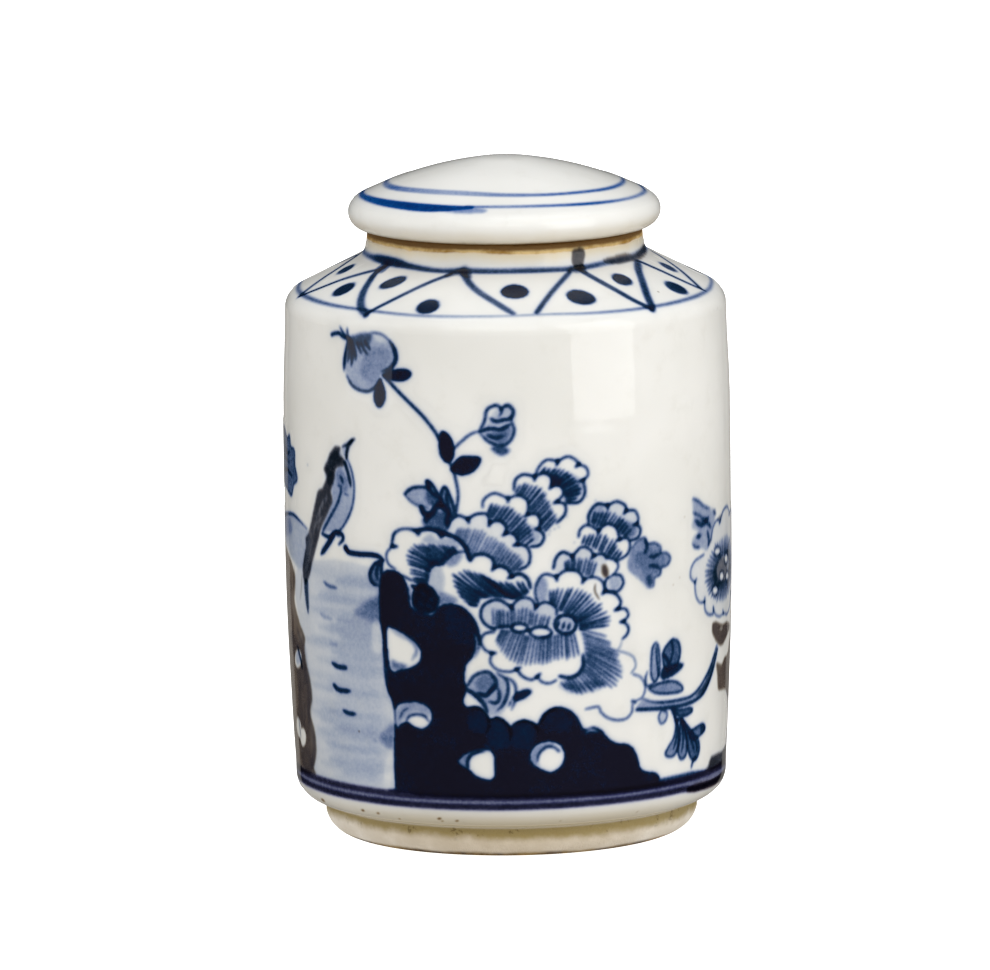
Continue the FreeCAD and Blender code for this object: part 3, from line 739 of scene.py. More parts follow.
def paint_right_peony(sheet):
    """A tall flower of stacked petals with an open one in front."""
    sheet.begin("painted_peony_right")
    sheet.petal([[(18.9, 79.6), (19, 81.8), (21, 84), (23.7, 83.5)], [(23.7, 83.5), (26.2, 84.2),
        (28.4, 83), (28.6, 81.8)], [(28.6, 81.8), (31, 81.6), (32, 79.6), (31.5, 78.4)], [(31.5, 78.4),
        (32.6, 77), (31.8, 75.2), (29.6, 74.7)]], [(27, 76.5), (22, 78.6)], tint=0.05)
    sheet.patch([(19.2, 82), (20.6, 83.8), (22.6, 83.8), (22, 80.4), (19.6, 80)], 0.14, soft=0.7)
    sheet.patch([(26.4, 79.4), (30.4, 78.8), (31.6, 76.6), (30, 75.4), (27.4, 76.2)], 0.24, soft=0.6)
    sheet.comb([(20, 82.2), (22.4, 82.3), (25, 81.8), (27.4, 80.6), (29.4, 78.6), (30.4, 77)],
        [(19.4, 80), (21, 78.8), (23.6, 78.8), (25.6, 77.8), (27, 76.6), (28.2, 75.6)], 1.02, 0.5)
    sheet.petal([[(16.4, 76.6), (16.8, 78.3), (18.6, 79.3), (21.4, 77.8)], [(21.4, 77.8), (23.4, 79.1),
        (25.8, 78.2), (26.8, 75.3)], [(26.8, 75.3), (28.8, 75.4), (29.6, 73.8), (28.8, 71.6),
        (26, 70.2)]], [(24, 71.4), (19.6, 73.6), (17.4, 75)])
    sheet.comb([(17.6, 76.9), (19.4, 77), (21.4, 77), (23.6, 76.4), (25.4, 75), (26.6, 73.2), (27.6, 72)],
        [(17, 75.2), (18.6, 74.5), (20.4, 73.8), (22, 72.8), (23.4, 71.8), (24.6, 70.8), (25.8, 70.2)],
        1.0, 0.55)
    sheet.petal([[(10.3, 69.6), (10.9, 71.9), (12.6, 73.3), (14.9, 72.2)], [(14.9, 72.2), (17, 74.2),
        (19.2, 73.5), (20.1, 72)], [(20.1, 72), (22.2, 72.3), (23.5, 70.8), (23.4, 69)]], [(21, 67.6),
        (16, 68.4), (11, 68.4)], tint=0.05)
    sheet.comb([(12.6, 71.2), (14.4, 71.6), (16.6, 71.8), (19, 71.4), (21.2, 70.4)], [(12.9, 69.4),
        (14.4, 68.8), (16.4, 68.4), (18.2, 67.6), (19.8, 67)], 0.86, 0.48)
    sheet.petal([[(23.4, 71.2), (25.4, 70.6), (26.4, 69), (25.4, 67.4)]], [(23, 67.4), (22.8, 70)], 0.45,
        0.7)
    sheet.petal([[(25, 67.2), (26.9, 66.8), (27.7, 65), (26.6, 63.4), (24.8, 62.9)]], [(23.4, 63.4),
        (23.4, 66.6)], 0.45, 0.75)
    sheet.patch(sheet.oval((25.4, 65.2), 3.2, 3.2), 0.16, soft=0.4)
    sheet.line([(25, 67), (23.2, 66.2), (22.8, 64.6), (23.6, 63.4), (25.2, 63.4)], 0.5, 0.75)
    sheet.petal([[(6.6, 61.6), (6, 64), (6.5, 66.6), (8.2, 68.3), (11, 67.6)], [(11, 67.6), (13.4, 69),
        (16.2, 68.5), (17.6, 66.6)], [(17.6, 66.6), (20, 67), (22.2, 65.8), (22.8, 63.4)], [(22.8, 63.4),
        (25.4, 62.7), (27, 60.6), (26.2, 59)], [(26.2, 59), (28.2, 58.8), (29, 57.2), (27.7, 55.9)],
        [(27.7, 55.9), (29, 54.4), (28.7, 52.8), (27.4, 51.8)]], [(20, 50), (14, 53), (8, 57), (7, 60)])
    sheet.patch([(6.6, 67), (8.6, 67), (8.6, 62.6), (6.8, 62.2)], 0.2, soft=0.6)
    sheet.comb([(8.8, 65), (11.4, 64.9), (14.8, 64.9), (17.6, 63.9), (20.4, 62.2), (22.4, 60), (23.8, 58),
        (24.8, 56.4), (24.2, 54.8)], [(9.2, 62), (10.6, 60.8), (12.2, 59.6), (13.8, 58.8), (15, 58),
        (15.9, 57.2), (16.4, 56.4), (16.6, 55.6), (16.6, 54.8)], 1.18, 0.55, 0.8, ends=(0.4, 1.2))
    sheet.petal([[(-3.4, 55.6), (-5.7, 56.8), (-6.7, 59), (-5.8, 61.4), (-2.8, 62.6), (0.4, 60.9)],
        [(0.4, 60.9), (2.4, 62.8), (4.8, 62.7), (6.2, 60.9)], [(6.2, 60.9), (8.4, 61.8), (10.8, 60.4),
        (11, 58.6)]], [(10, 56), (4, 55), (-2, 55)], tint=0.08)
    sheet.comb([(-4.4, 61), (-2.8, 60.6), (-0.8, 60.2), (1.2, 60.4), (3.6, 61), (5.4, 60), (7.6, 58.9),
        (9.8, 58.7)], [(-4.2, 57), (-2.8, 56.2), (-1, 56.2), (0.6, 56.8), (2.6, 57), (4.6, 56.6),
        (6.6, 56.2), (8.8, 55.8)], 0.92, 0.42, 0.72)
    sheet.petal([[(-3.6, 55), (-5.8, 54.6), (-6.8, 52.8), (-5.8, 50.8), (-4.2, 50)], [(-4.2, 50),
        (-4.6, 47.8), (-2.8, 46), (0, 45.6), (1.5, 46.2)], [(1.5, 46.2), (2.8, 44.5), (4.8, 43.6),
        (6.3, 44.3)], [(6.3, 44.3), (7.4, 43), (9.2, 42.6), (10.8, 43.3)]], [(17.2, 46), (17.4, 50),
        (15, 54), (4, 54.8)], 0.45, 0.68)
    sheet.line([(11.6, 44.2), (13.8, 43.7), (16, 44.4), (17.3, 46.4), (17.2, 49)], 0.7, 0.75, (0.8, 0.5))
    sheet.comb([(-3.6, 52.8), (-2.4, 50.6), (-0.8, 48.6), (1.2, 47.4), (4, 46.8), (7.4, 47), (11, 47.6),
        (14.4, 48.1), (16.8, 48.1)], [(-2.2, 55.4), (-0.2, 55.2), (1.8, 55), (3.4, 54.2), (5.4, 53.4),
        (8, 53.2), (10.4, 53.8), (12.8, 54.2), (15.4, 53.8)], 0.98, 0.46, 0.78, ends=(0.45, 1.0))
    sheet.line([(27.2, 51.4), (26.8, 50), (25.8, 49.2)], 0.4, 0.25)
    sheet.petal([[(24.8, 49.3), (27.8, 48.6), (30.4, 47.2), (31.1, 45), (29.8, 43.4)]], [(26, 42),
        (22, 47)], 0.38, 0.42)
    sheet.petal([[(30.4, 43.2), (32.8, 42), (34, 39.6), (33.2, 37.4), (31.6, 36.8)], [(30.3, 36.2),
        (30.2, 34.2), (28.6, 32.8), (26, 32.7), (23.6, 33.5), (21.8, 35), (21.2, 36.3), (18, 36)]],
        [(14, 38.6), (17, 42), (23, 42), (28, 43)], 0.38, 0.55)
    sheet.patch([(18, 50), (22, 49.6), (26.6, 46), (27, 43.4), (20, 43.4), (17.6, 46)], 0.12, soft=1.2)
    sheet.comb([(23.8, 53), (24.6, 50.8), (26.6, 47.8), (28, 45.2), (27.4, 42.2), (25.4, 40.6),
        (21.7, 40.5), (18.9, 39.7), (15.6, 39.8), (13.2, 41)], [(16.6, 55.2), (17.1, 53.6), (17.5, 52),
        (17.8, 50), (17.9, 48), (17.2, 45.8), (15.8, 44.3), (14, 43.5), (12.8, 43), (11.6, 42.6)], 1.24,
        0.42, 0.66, ends=(0.6, 0.7))
    sheet.line([(12.2, 42), (15, 41.4), (19, 41.4), (23, 42)], 2.2, 0.25, soft=1.4)
    oval = sheet.oval((13.1, 56.3), 5.2, 4.4, -14)
    sheet.clear(oval)
    sheet.patch(oval, 0.1)
    sheet.loop(oval, 0.6, 0.85)
    for s, h in ((11.2, 56.3), (12.5, 55.9), (13.8, 55.6)):
        sheet.line([(s + 0.3, h + 0.9), (s - 0.2, h - 0.7)], 0.6, 0.8)
    sheet.line([(-4.4, 55.6), (-2, 56.2), (0.6, 56.2), (3.6, 55.4), (5.4, 55), (8, 53.6), (10, 54.4)],
        0.6, 0.7)
    for centre, across, tall, turn in (((2.3, 55.9), 3.3, 1.5, -6), ((7.2, 54.7), 4.6, 2.0, -4)):
        oval = sheet.oval(centre, across, tall, turn)
        sheet.clear(oval)
        sheet.loop(sheet.oval(centre, across + 0.5, tall + 0.5, turn), 0.5, 0.75)
    sheet.patch(sheet.oval((22.9, 68.2), 1.5, 3.2, 14), 0.2, 0.75, soft=0.4)
    sheet.line([(20.4, 65.4), (20.3, 63.6), (21.4, 61.6)], 0.4, 0.2, iron=0.45)
    for s, h in (
            (15.2, 75.4), (18.2, 75.8), (20.6, 84.9), (9.6, 78.4), (10.6, 78.8), (11.6, 79.2),
            (13.6, 81.6), (9.2, 77.6), (18.4, 86)):
        sheet.line([(s, h), (s + 0.2, h)], 0.5, 0.35)


def paint_low_bud(sheet):
    """A round bud tucked between the rock and the flower."""
    sheet.begin("painted_bud_low")
    sheet.patch([(-10.8, 42), (-8.6, 39.4), (-6, 38), (-5, 35.4), (-2, 36), (-0.4, 40), (-1.6, 44),
        (-5, 45), (-8, 44)], 0.15, soft=0.4)
    sheet.patch(sheet.oval((-6, 43), 4.6, 4.4), 0.16, soft=0.4)
    for places, width, ink in (
            ([(-10.4, 41.8), (-8.4, 44.6), (-5.4, 45.6), (-3.6, 44), (-3.4, 42), (-5, 40.6)], 0.7, 0.62),
            ([(-3.2, 45.4), (-0.9, 43.6), (-0.6, 40.6), (-1.8, 37.8), (-3.2, 36.4)], 0.65, 0.6),
            ([(-0.8, 44.4), (1, 42.6), (1.2, 39.4), (0.2, 36.6)], 0.65, 0.5),
            ([(-10.8, 41.6), (-8.4, 40.2), (-6.4, 38), (-5.4, 36)], 0.85, 0.7),
            ([(-7.8, 40.6), (-5.8, 40), (-4.6, 41.2), (-3.6, 42.6)], 0.85, 0.7),
            ([(-5.2, 38.6), (-3.4, 38.2), (-2.6, 39.6), (-2.8, 41.8)], 0.65, 0.6)):
        sheet.line(places, width, ink)
    sheet.patch([(0.4, 39.4), (2, 40.8), (4, 41.4), (4.9, 40.6), (3.4, 39.4), (1.6, 38.8)], 0.9)
    sheet.line([(0.2, 39), (-0.4, 37.4)], 0.5, 0.6)


def paint_rock(sheet):
    """The dark scholar's rock with its worn holes."""
    sheet.begin("painted_rock")
    outline = [(-27.6, 16), (-29, 16.7), (-29.1, 20), (-28.8, 28), (-28.6, 34), (-29.2, 38.2),
        (-30.4, 40), (-30.5, 45), (-31, 52), (-31.8, 56), (-31.9, 61), (-31.6, 66), (-30.4, 68),
        (-28.4, 68.5), (-26, 67.6), (-24.7, 65.4), (-24.2, 62.6), (-23.6, 60.2), (-20.8, 58.9),
        (-18, 58.6), (-17, 60.2), (-14.4, 61.3), (-11.2, 60.8), (-8.6, 58.4), (-7.2, 55.2), (-7, 52),
        (-8, 49.6), (-10.2, 47.6), (-10.9, 44.5), (-10.6, 41), (-11.2, 38.4), (-10.2, 37), (-8.6, 37.2),
        (-6.6, 36.4), (-5.2, 34.4), (-3.4, 34.7), (-1.4, 33.8), (-0.4, 32.6), (1, 33.2), (3, 34),
        (5, 33.4), (6.2, 32.8), (7.4, 34.8), (9, 36.2), (11.2, 36.8), (13.8, 36), (15.8, 34.2),
        (17.2, 31.4), (18.6, 31.2), (19.6, 31.6), (21.4, 31), (23, 29.4), (24.4, 28), (26.4, 27),
        (28.8, 26.6), (30.8, 25.2), (32, 23), (32.8, 20.6), (34.6, 19.4), (37.2, 18.9), (38.8, 17.8),
        (38.6, 16.4), (36, 15.9)]
    sheet.patch(outline, 1.15, 0.05, soft=0.25)
    for lobe, share in (
            ([(-10, 36), (-7.4, 36.4), (-5.4, 34.6), (-5.6, 31.6), (-8.4, 31), (-10.4, 33)], -0.22),
            ([(-5.2, 34), (-3, 34.4), (-0.6, 32.4), (-0.4, 28), (-4.6, 27.6), (-5.8, 31)], -0.3),
            ([(0.2, 32.6), (3, 33.6), (5.6, 32.4), (6.2, 29.6), (3.6, 27), (0, 28)], -0.28),
            ([(7, 33.6), (9.4, 36), (13, 35.6), (14, 32), (11, 30.4), (8, 30.6)], -0.2),
            ([(-15, 60), (-12, 60.2), (-9.6, 57), (-9, 53), (-12, 52), (-15, 55)], -0.16)):
        sheet.patch(lobe, share, soft=1.0)
    for lobe in (
            [(-10, 37), (-7.6, 37), (-5.6, 35.2), (-5.2, 32.6), (-6, 31)],
            [(-5, 34), (-3, 34.6), (-0.8, 33), (0, 30.8), (-0.4, 29)],
            [(0.6, 33.2), (3, 33.8), (5.4, 33), (6.6, 31)],
            [(6.8, 33), (8.8, 35.8), (11.4, 36.6)]):
        sheet.line(lobe, 0.7, 0.5, iron=0.2)
    sheet.clear([(-30.3, 54.5), (-28.3, 54.9), (-25.4, 53.8), (-22.8, 52.2), (-21.2, 50), (-21.5, 47.6),
        (-23.5, 46), (-26.4, 45.2), (-29.6, 45.2)])
    sheet.patch([(-28.8, 54.8), (-26, 54), (-24, 52.8), (-25, 52.4), (-28, 53.6)], 0.14, soft=0.5)
    sheet.line([(-25, 53), (-23, 51.6), (-22.4, 49.8), (-23.6, 47.8)], 0.8, 0.26, soft=0.5)
    sheet.patch([(-29, 47.4), (-27.4, 46.8), (-25, 46.4), (-26, 45.4), (-29, 45.4)], 0.34, soft=0.5)
    sheet.clear([(-28.6, 35.4), (-27.6, 37), (-25.4, 37.7), (-22.1, 37.9), (-19.8, 36.9), (-18.8, 34.9),
        (-19.7, 32.5), (-21.6, 31.4), (-23.8, 31.9), (-25.4, 32.9), (-27.4, 32), (-28.4, 31.4)])
    sheet.patch([(-28.2, 35.4), (-25.4, 37.4), (-21, 37.6), (-19.2, 35.4), (-20.4, 34.6), (-23, 35.6),
        (-25.8, 34), (-28.2, 31.8)], 0.2, soft=0.4)
    sheet.line([(-25.8, 32.8), (-25, 34.2), (-23, 34.9), (-20.8, 34.6), (-19.8, 33.4)], 0.55, 0.65)
    sheet.line([(-27.6, 33.4), (-26.4, 35.4), (-24.8, 36.4)], 0.45, 0.4)
    sheet.clear([(-12.9, 23.9), (-11.6, 25.7), (-9.7, 26.7), (-7.4, 27.2), (-5.2, 27), (-4, 25.6),
        (-3.8, 22), (-4.3, 20.2), (-6, 19.9), (-8.3, 20.6), (-10, 22)])
    sheet.patch([(-12.8, 23.9), (-11.4, 25.6), (-9.4, 26.6), (-6, 27.2), (-8.2, 26.2), (-10, 24.6),
        (-10.2, 22.6)], 0.22, soft=0.3)
    sheet.line([(-10.3, 22.4), (-10.5, 24), (-9.8, 25.6), (-8.2, 26.5), (-6.2, 26.8)], 0.5, 0.8)
    sheet.line([(-6.6, 28.4), (-5.6, 27.8), (-4.8, 26.8)], 0.7, -0.45, soft=0.5)
    sheet.clear([(4.3, 25.3), (5, 27.3), (7, 28.7), (9.8, 28.9), (12.1, 27.6), (12.9, 25.1), (12, 22.8),
        (9.6, 21.4), (7, 22.2), (5, 23.6)])
    sheet.patch([(4.6, 25.2), (5.4, 27.2), (7.6, 28.4), (10.6, 28.4), (9, 27.6), (6.8, 26.4), (6.2, 24.4),
        (6.6, 22.8), (5, 23.8)], 0.2, soft=0.4)
    sheet.line([(6.2, 24.2), (6.6, 26), (8.4, 27.5), (10.2, 27.4), (11.4, 26.4)], 0.5, 0.6, (0.5, 1))
    for crescent in (
            [(-9, 48.4), (-7.9, 50.6), (-7.7, 52.8), (-8.3, 54.6)],
            [(18, 30.2), (19.4, 30.9), (21.2, 30.2)],
            [(-10.6, 40), (-10.9, 38.6), (-10.6, 37.4)]):
        sheet.line(crescent, 0.8, -0.8, soft=0.4)


def paint_lobed_leaf(sheet):
    """A five-pointed leaf behind the right flower."""
    sheet.begin("painted_leaf_lobed")
    points = [(28.8, 69), (30, 73), (32, 74.6), (33.8, 74.9), (34.6, 73.4), (36.6, 73.4), (38.5, 72.3),
        (38.6, 70.9), (40.4, 70.6), (41.7, 69.2), (40.8, 67.8), (38.7, 67.3), (38.4, 65.8), (36.6, 65.2),
        (36.3, 63.3), (34.4, 63.2), (32, 65.4), (29.6, 67.4)]
    for places, ink, soft in (
            (points, 0.24, 0.3),
            ([(31, 71), (36, 72), (39.6, 69.6), (37, 66), (33, 67)], 0.1, 0.8),
            ([(34.2, 65.8), (35.8, 65.6), (35.8, 63.6), (34.4, 63.8)], 0.35, 0.5)):
        sheet.patch(places, ink, soft=soft)
    for places, width, ink in (
            (points[1:-2], 0.45, 0.5),
            ([(33.9, 74.6), (34.4, 72.6), (33.6, 71.2)], 0.6, 0.6),
            ([(38.4, 70.8), (36.6, 70.2), (35, 70.4)], 0.55, 0.6),
            ([(38.3, 67.3), (36.6, 68), (34.8, 68.2)], 0.55, 0.6)):
        sheet.line(places, width, ink)


def paint_branch(sheet):
    """A branch that runs low to the right, with leaves above and below."""
    sheet.begin("painted_branch")
    upper = [(33.4, 37), (36, 36), (40, 35.4), (46, 35.2), (50, 35.4), (53, 36.6), (56, 38.6), (59, 41.2),
        (62.4, 45.6)]
    lower = [(31.6, 34.6), (36, 34.2), (42, 33.8), (47, 33.7), (51, 34), (55, 35), (57.6, 36.8),
        (60.4, 39.8), (63.2, 44.6)]
    sheet.patch(upper + lower[::-1], 0.2, soft=0.3)
    sheet.line(upper, 0.5, 0.65)
    sheet.line(lower, 0.65, 0.72, (1.2, 0.6))
    sheet.patch([(52, 35.4), (56, 37.6), (61, 43.4), (63, 45), (60, 39.8), (56.6, 35.8)], 0.3, iron=0.15,
        soft=0.4)
    sheet.leaf([(37, 49.9), (36, 48.8), (35.6, 45), (35.8, 42), (37, 40.6), (38.3, 42.6), (38.3, 46),
        (37.8, 49)], 0.18, 0.7, [(38, 42), (37.4, 46), (37.2, 49)])
    sheet.line([(34.6, 43.4), (34, 41.6), (34.6, 39.8), (37, 40.4)], 0.5, 0.6)
    sheet.leaf([(42.4, 50), (44.4, 49.2), (45.3, 47), (44.8, 44.8), (43.4, 43.2), (40.4, 43),
        (39.4, 45.4), (39.8, 48)], 0.34, 0.75, [(42.2, 49.6), (42.6, 46.8), (41.4, 44)])
    sheet.line([(39, 47), (40.6, 45.6), (41.6, 44)], 0.6, 0.75)
    sheet.patch([(39.2, 43.4), (42, 44), (44.6, 44), (46.6, 43.3), (44.6, 42), (42, 41.2), (39, 41)],
        0.72)
    for leaf in (
            ([(35, 39.2), (38, 40), (42, 40.1), (45, 39.2), (46.6, 37.6), (44.8, 37.1), (40, 37.4),
             (37, 38)], 0.2, 0.75),
            ([(39.2, 33.6), (38.3, 32), (39.2, 30.4), (40.7, 31), (41, 32.8)], 0.08, 0.6),
            ([(43, 33.4), (46, 32.7), (49.8, 32.6), (50.6, 31.8), (48, 31.1), (45, 31.6)], 0.35, 0.75),
            ([(43.8, 31.4), (44.3, 29), (43.6, 26.4), (42, 24.6), (40.8, 23), (42, 22.1), (44, 22.2),
             (45.3, 24), (45.8, 27)], 0.22, 0.7, [(44.8, 30.6), (44.8, 27), (43.6, 23.6)]),
            ([(46, 30.4), (45.6, 27), (45.3, 23), (46.6, 20.9), (48.4, 21.4), (48.8, 24), (48, 27)], 0.24,
             0.75, [(46.4, 29.6), (47.2, 26), (46.8, 22.4)]),
            ([(46.4, 30.6), (48.6, 28.6), (51.4, 26.2), (53.8, 24.2), (54.4, 21.8), (53, 19.9),
             (51, 20.3), (49.4, 22.6), (48.4, 26)], 0.34, 0.8, [(47.4, 29.4), (50.2, 25.4),
             (52.4, 21.4)])):
        sheet.leaf(*leaf)
    sheet.line([(51, 25.6), (53, 23.6), (53.4, 21.4)], 0.55, 0.7)
    sheet.leaf([(49.4, 27), (52, 27.4), (55.4, 27.9), (57, 26.6), (54.6, 25.4), (51, 25)], 0.32, 0.75)
    sheet.patch([(54.6, 27.4), (56.6, 27.4), (56.8, 26.2), (54.8, 25.8)], 0.4)
    sheet.line([(42.4, 33.6), (43.6, 32), (44.4, 30.4), (46, 30.6), (47.6, 29)], 0.75, 0.75)
    sheet.line([(51, 18.1), (51.6, 19.6), (53, 20.8)], 0.7, 0.6)
    for s, h in ((46.7, 78.2), (42.5, 62.8), (44.8, 64.2)):
        sheet.line([(s, h), (s + 0.3, h)], 0.5, 0.0, iron=0.3)


def paint_edge_peony(sheet):
    """The flower at the right, and the dark leaf and bank under it."""
    sheet.begin("painted_peony_edge")
    sheet.patch([(50.1, 82.2), (52.4, 81.3), (55, 79.5), (57.8, 78.6), (60, 78), (61, 75), (59, 71),
        (57.2, 68.6), (54, 69.8), (50.4, 70.6), (50.2, 72.8), (52.4, 74), (49.8, 75.4), (50.4, 78)], 0.17,
        soft=0.7)
    for stroke, width, ink, iron in (
            ([(50.2, 82), (52.4, 81.2), (55, 79.6), (58, 78.6)], 0.6, 0.45, 0),
            ([(50.2, 78.8), (52, 78), (54, 77.4)], 0.6, 0.45, 0),
            ([(51, 76.8), (54, 75.4), (57.4, 76.6)], 1.2, 0.5, 0),
            ([(53.4, 77), (56, 76), (58.6, 74)], 1.0, 0.45, 0),
            ([(51.6, 72.8), (53.6, 72.9)], 1.0, 0.5, 0),
            ([(50, 71.6), (50.8, 70.6), (53, 70.1)], 0.6, 0.45, 0),
            ([(56.6, 73.6), (57.4, 71), (56.8, 68.6)], 0.9, 0.45, 0),
            ([(60, 77.8), (61.4, 76.8)], 1.3, 0.4, 0.1),
            ([(56.8, 68.2), (58, 70.2), (60, 71.8), (62.6, 72.4), (66, 71.4), (70, 71.6), (75, 69.6)],
             1.2, 0.3, 0.2),
            ([(61, 74.4), (64, 75.4), (68, 75.8), (72, 75), (77, 72)], 0.9, 0.25, 0.2),
            ([(57.6, 68.2), (60, 67.8), (63, 66.8), (66, 64.8)], 0.9, 0.3, 0.15)):
        sheet.line(stroke, width, ink, iron=iron, soft=0.6)
    lobes = [[(55, 68.2), (53, 67.8), (50.8, 67.2), (49.2, 65.6), (49.1, 63.6), (50.8, 62.2)],
        [(51, 62.4), (50.9, 60.6), (51.6, 58.4), (53.2, 57.1), (55.2, 57)], [(55.2, 57.2), (55.5, 55),
        (57.4, 53.6), (60, 53.3)], [(60, 55), (61, 53.2), (64, 52.1), (67, 52.4)], [(67, 52.4),
        (71, 51.6), (74.4, 53), (76, 55.6)], [(76, 55.6), (79.6, 56.2), (82, 59), (81.6, 61.8)],
        [(81.6, 61.8), (84, 64.4), (83.2, 68.2), (80, 70)], [(80, 70), (80, 73), (77, 75.4), (73.6, 75)],
        [(73.6, 75), (71, 77), (67, 76.8), (64.4, 74.6)], [(64.4, 74.6), (62, 75.2), (59.6, 73.6),
        (58.6, 71)]]
    sheet.petal(lobes, [(58, 70.4), (56.6, 69.2)], 0.5, 0.42, 0.03)
    outer, inner = sheet.oval((67, 63), 24, 16), sheet.oval((67, 63), 11, 6.6)
    sheet.comb(np.concatenate([outer, outer[:1]]), np.concatenate([inner, inner[:1]]), 1.35, 0.75, 0.4,
        ends=(0.4, 0.9))
    sheet.patch(sheet.oval((66.4, 62.4), 19, 12), 0.08, 0.1, soft=2.6)
    sheet.patch(sheet.oval((65, 62.4), 11, 7), 0.12, 0.16, soft=1.6)
    for centre, across, tall in (
            ((61, 58.8), 3.2, 2.0), ((62.4, 67.8), 3.6, 1.8), ((65.4, 61.4), 3.0, 2.2), ((69.4, 65), 3.2,
            2.2), ((70.6, 60.6), 3.2, 2.0)):
        sheet.clear(sheet.oval(centre, across, tall, -6))
        sheet.line(sheet.oval(centre, across + 0.4, tall + 0.4, -6), 0.5, 0.35, (0.8, 0.8), iron=0.15,
            soft=0.5)
    sheet.patch([(59.6, 51.1), (61, 51.3), (63.4, 50.6), (66.4, 49.8), (71, 49.6), (75, 48), (71, 46.4),
        (66.4, 44.9), (63, 46), (60.2, 48.2), (59.3, 49.8)], 0.16, 0.66, soft=0.4)
    sheet.patch(sheet.oval((65.6, 49), 2.2, 1.1), -0.5)
    sheet.begin("painted_rock_right")
    edge = [(62.6, 41.2), (64, 40.9), (67, 40.3), (69, 41.4), (73, 42), (76, 45.6), (80, 50), (85, 51.4),
        (89, 48), (90, 42), (93.4, 37), (92, 31), (94.6, 25), (93, 19), (90, 17.4), (80, 17.4), (77, 20),
        (79, 25.4), (76.4, 30.4), (72, 33.4), (66, 34.3), (64.3, 35), (63.6, 38)]
    sheet.patch(edge, 0.12, 0.6, soft=0.4)
    sheet.line(edge[10:20], 0.9, 0.3, iron=0.25, soft=0.5)
    for k in range(12):
        s, h = 79 + 12 * rng.random(), 19 + 26 * rng.random()
        sheet.line([(s, h), (s + 1.0, h + 2.6), (s + 1.2, h + 5)], 0.6, 0.08, iron=0.16, soft=0.6)
    for centre, across, tall, turn in (((84.6, 40.6), 6.0, 4.4, 24), ((85.6, 25.6), 5.0, 4.4, -10)):
        sheet.clear(sheet.oval(centre, across, tall, turn))
        sheet.loop(sheet.oval(centre, across, tall, turn), 0.5, 0.4)
    sheet.patch([(59.6, 17), (61, 18.8), (63, 19.2), (70, 18.9), (76, 19.4), (84, 18.6), (94, 17),
        (93, 16), (60, 16)], 0.3, 0.5, soft=0.4)


def paint_specks(sheet):
    """Iron spots that burned through the glaze near the bottom edge."""
    sheet.begin("iron_specks")
    for s, h, wide, iron in (
            (-58, 10.2, 1.6, 0.5), (-41, 10.0, 0.9, 0.75), (-36, 9.8, 0.8, 0.6), (-18.5, 9.9, 0.8, 0.8),
            (-17.8, 9.1, 0.5, 0.6), (-14, 9.4, 0.7, 0.7), (-30, 8.6, 0.6, 0.5), (12, 9.0, 0.4, 0.35),
            (33, 9.6, 0.5, 0.3), (101, 10.2, 0.9, 0.5), (140, 9.4, 0.8, 0.6), (-120, 9.8, 0.9, 0.6)):
        sheet.line([(s, h), (s + wide * 0.6, h + 0.2)], wide * 0.7, 0.0, (0.8, 0.8), iron=iron)


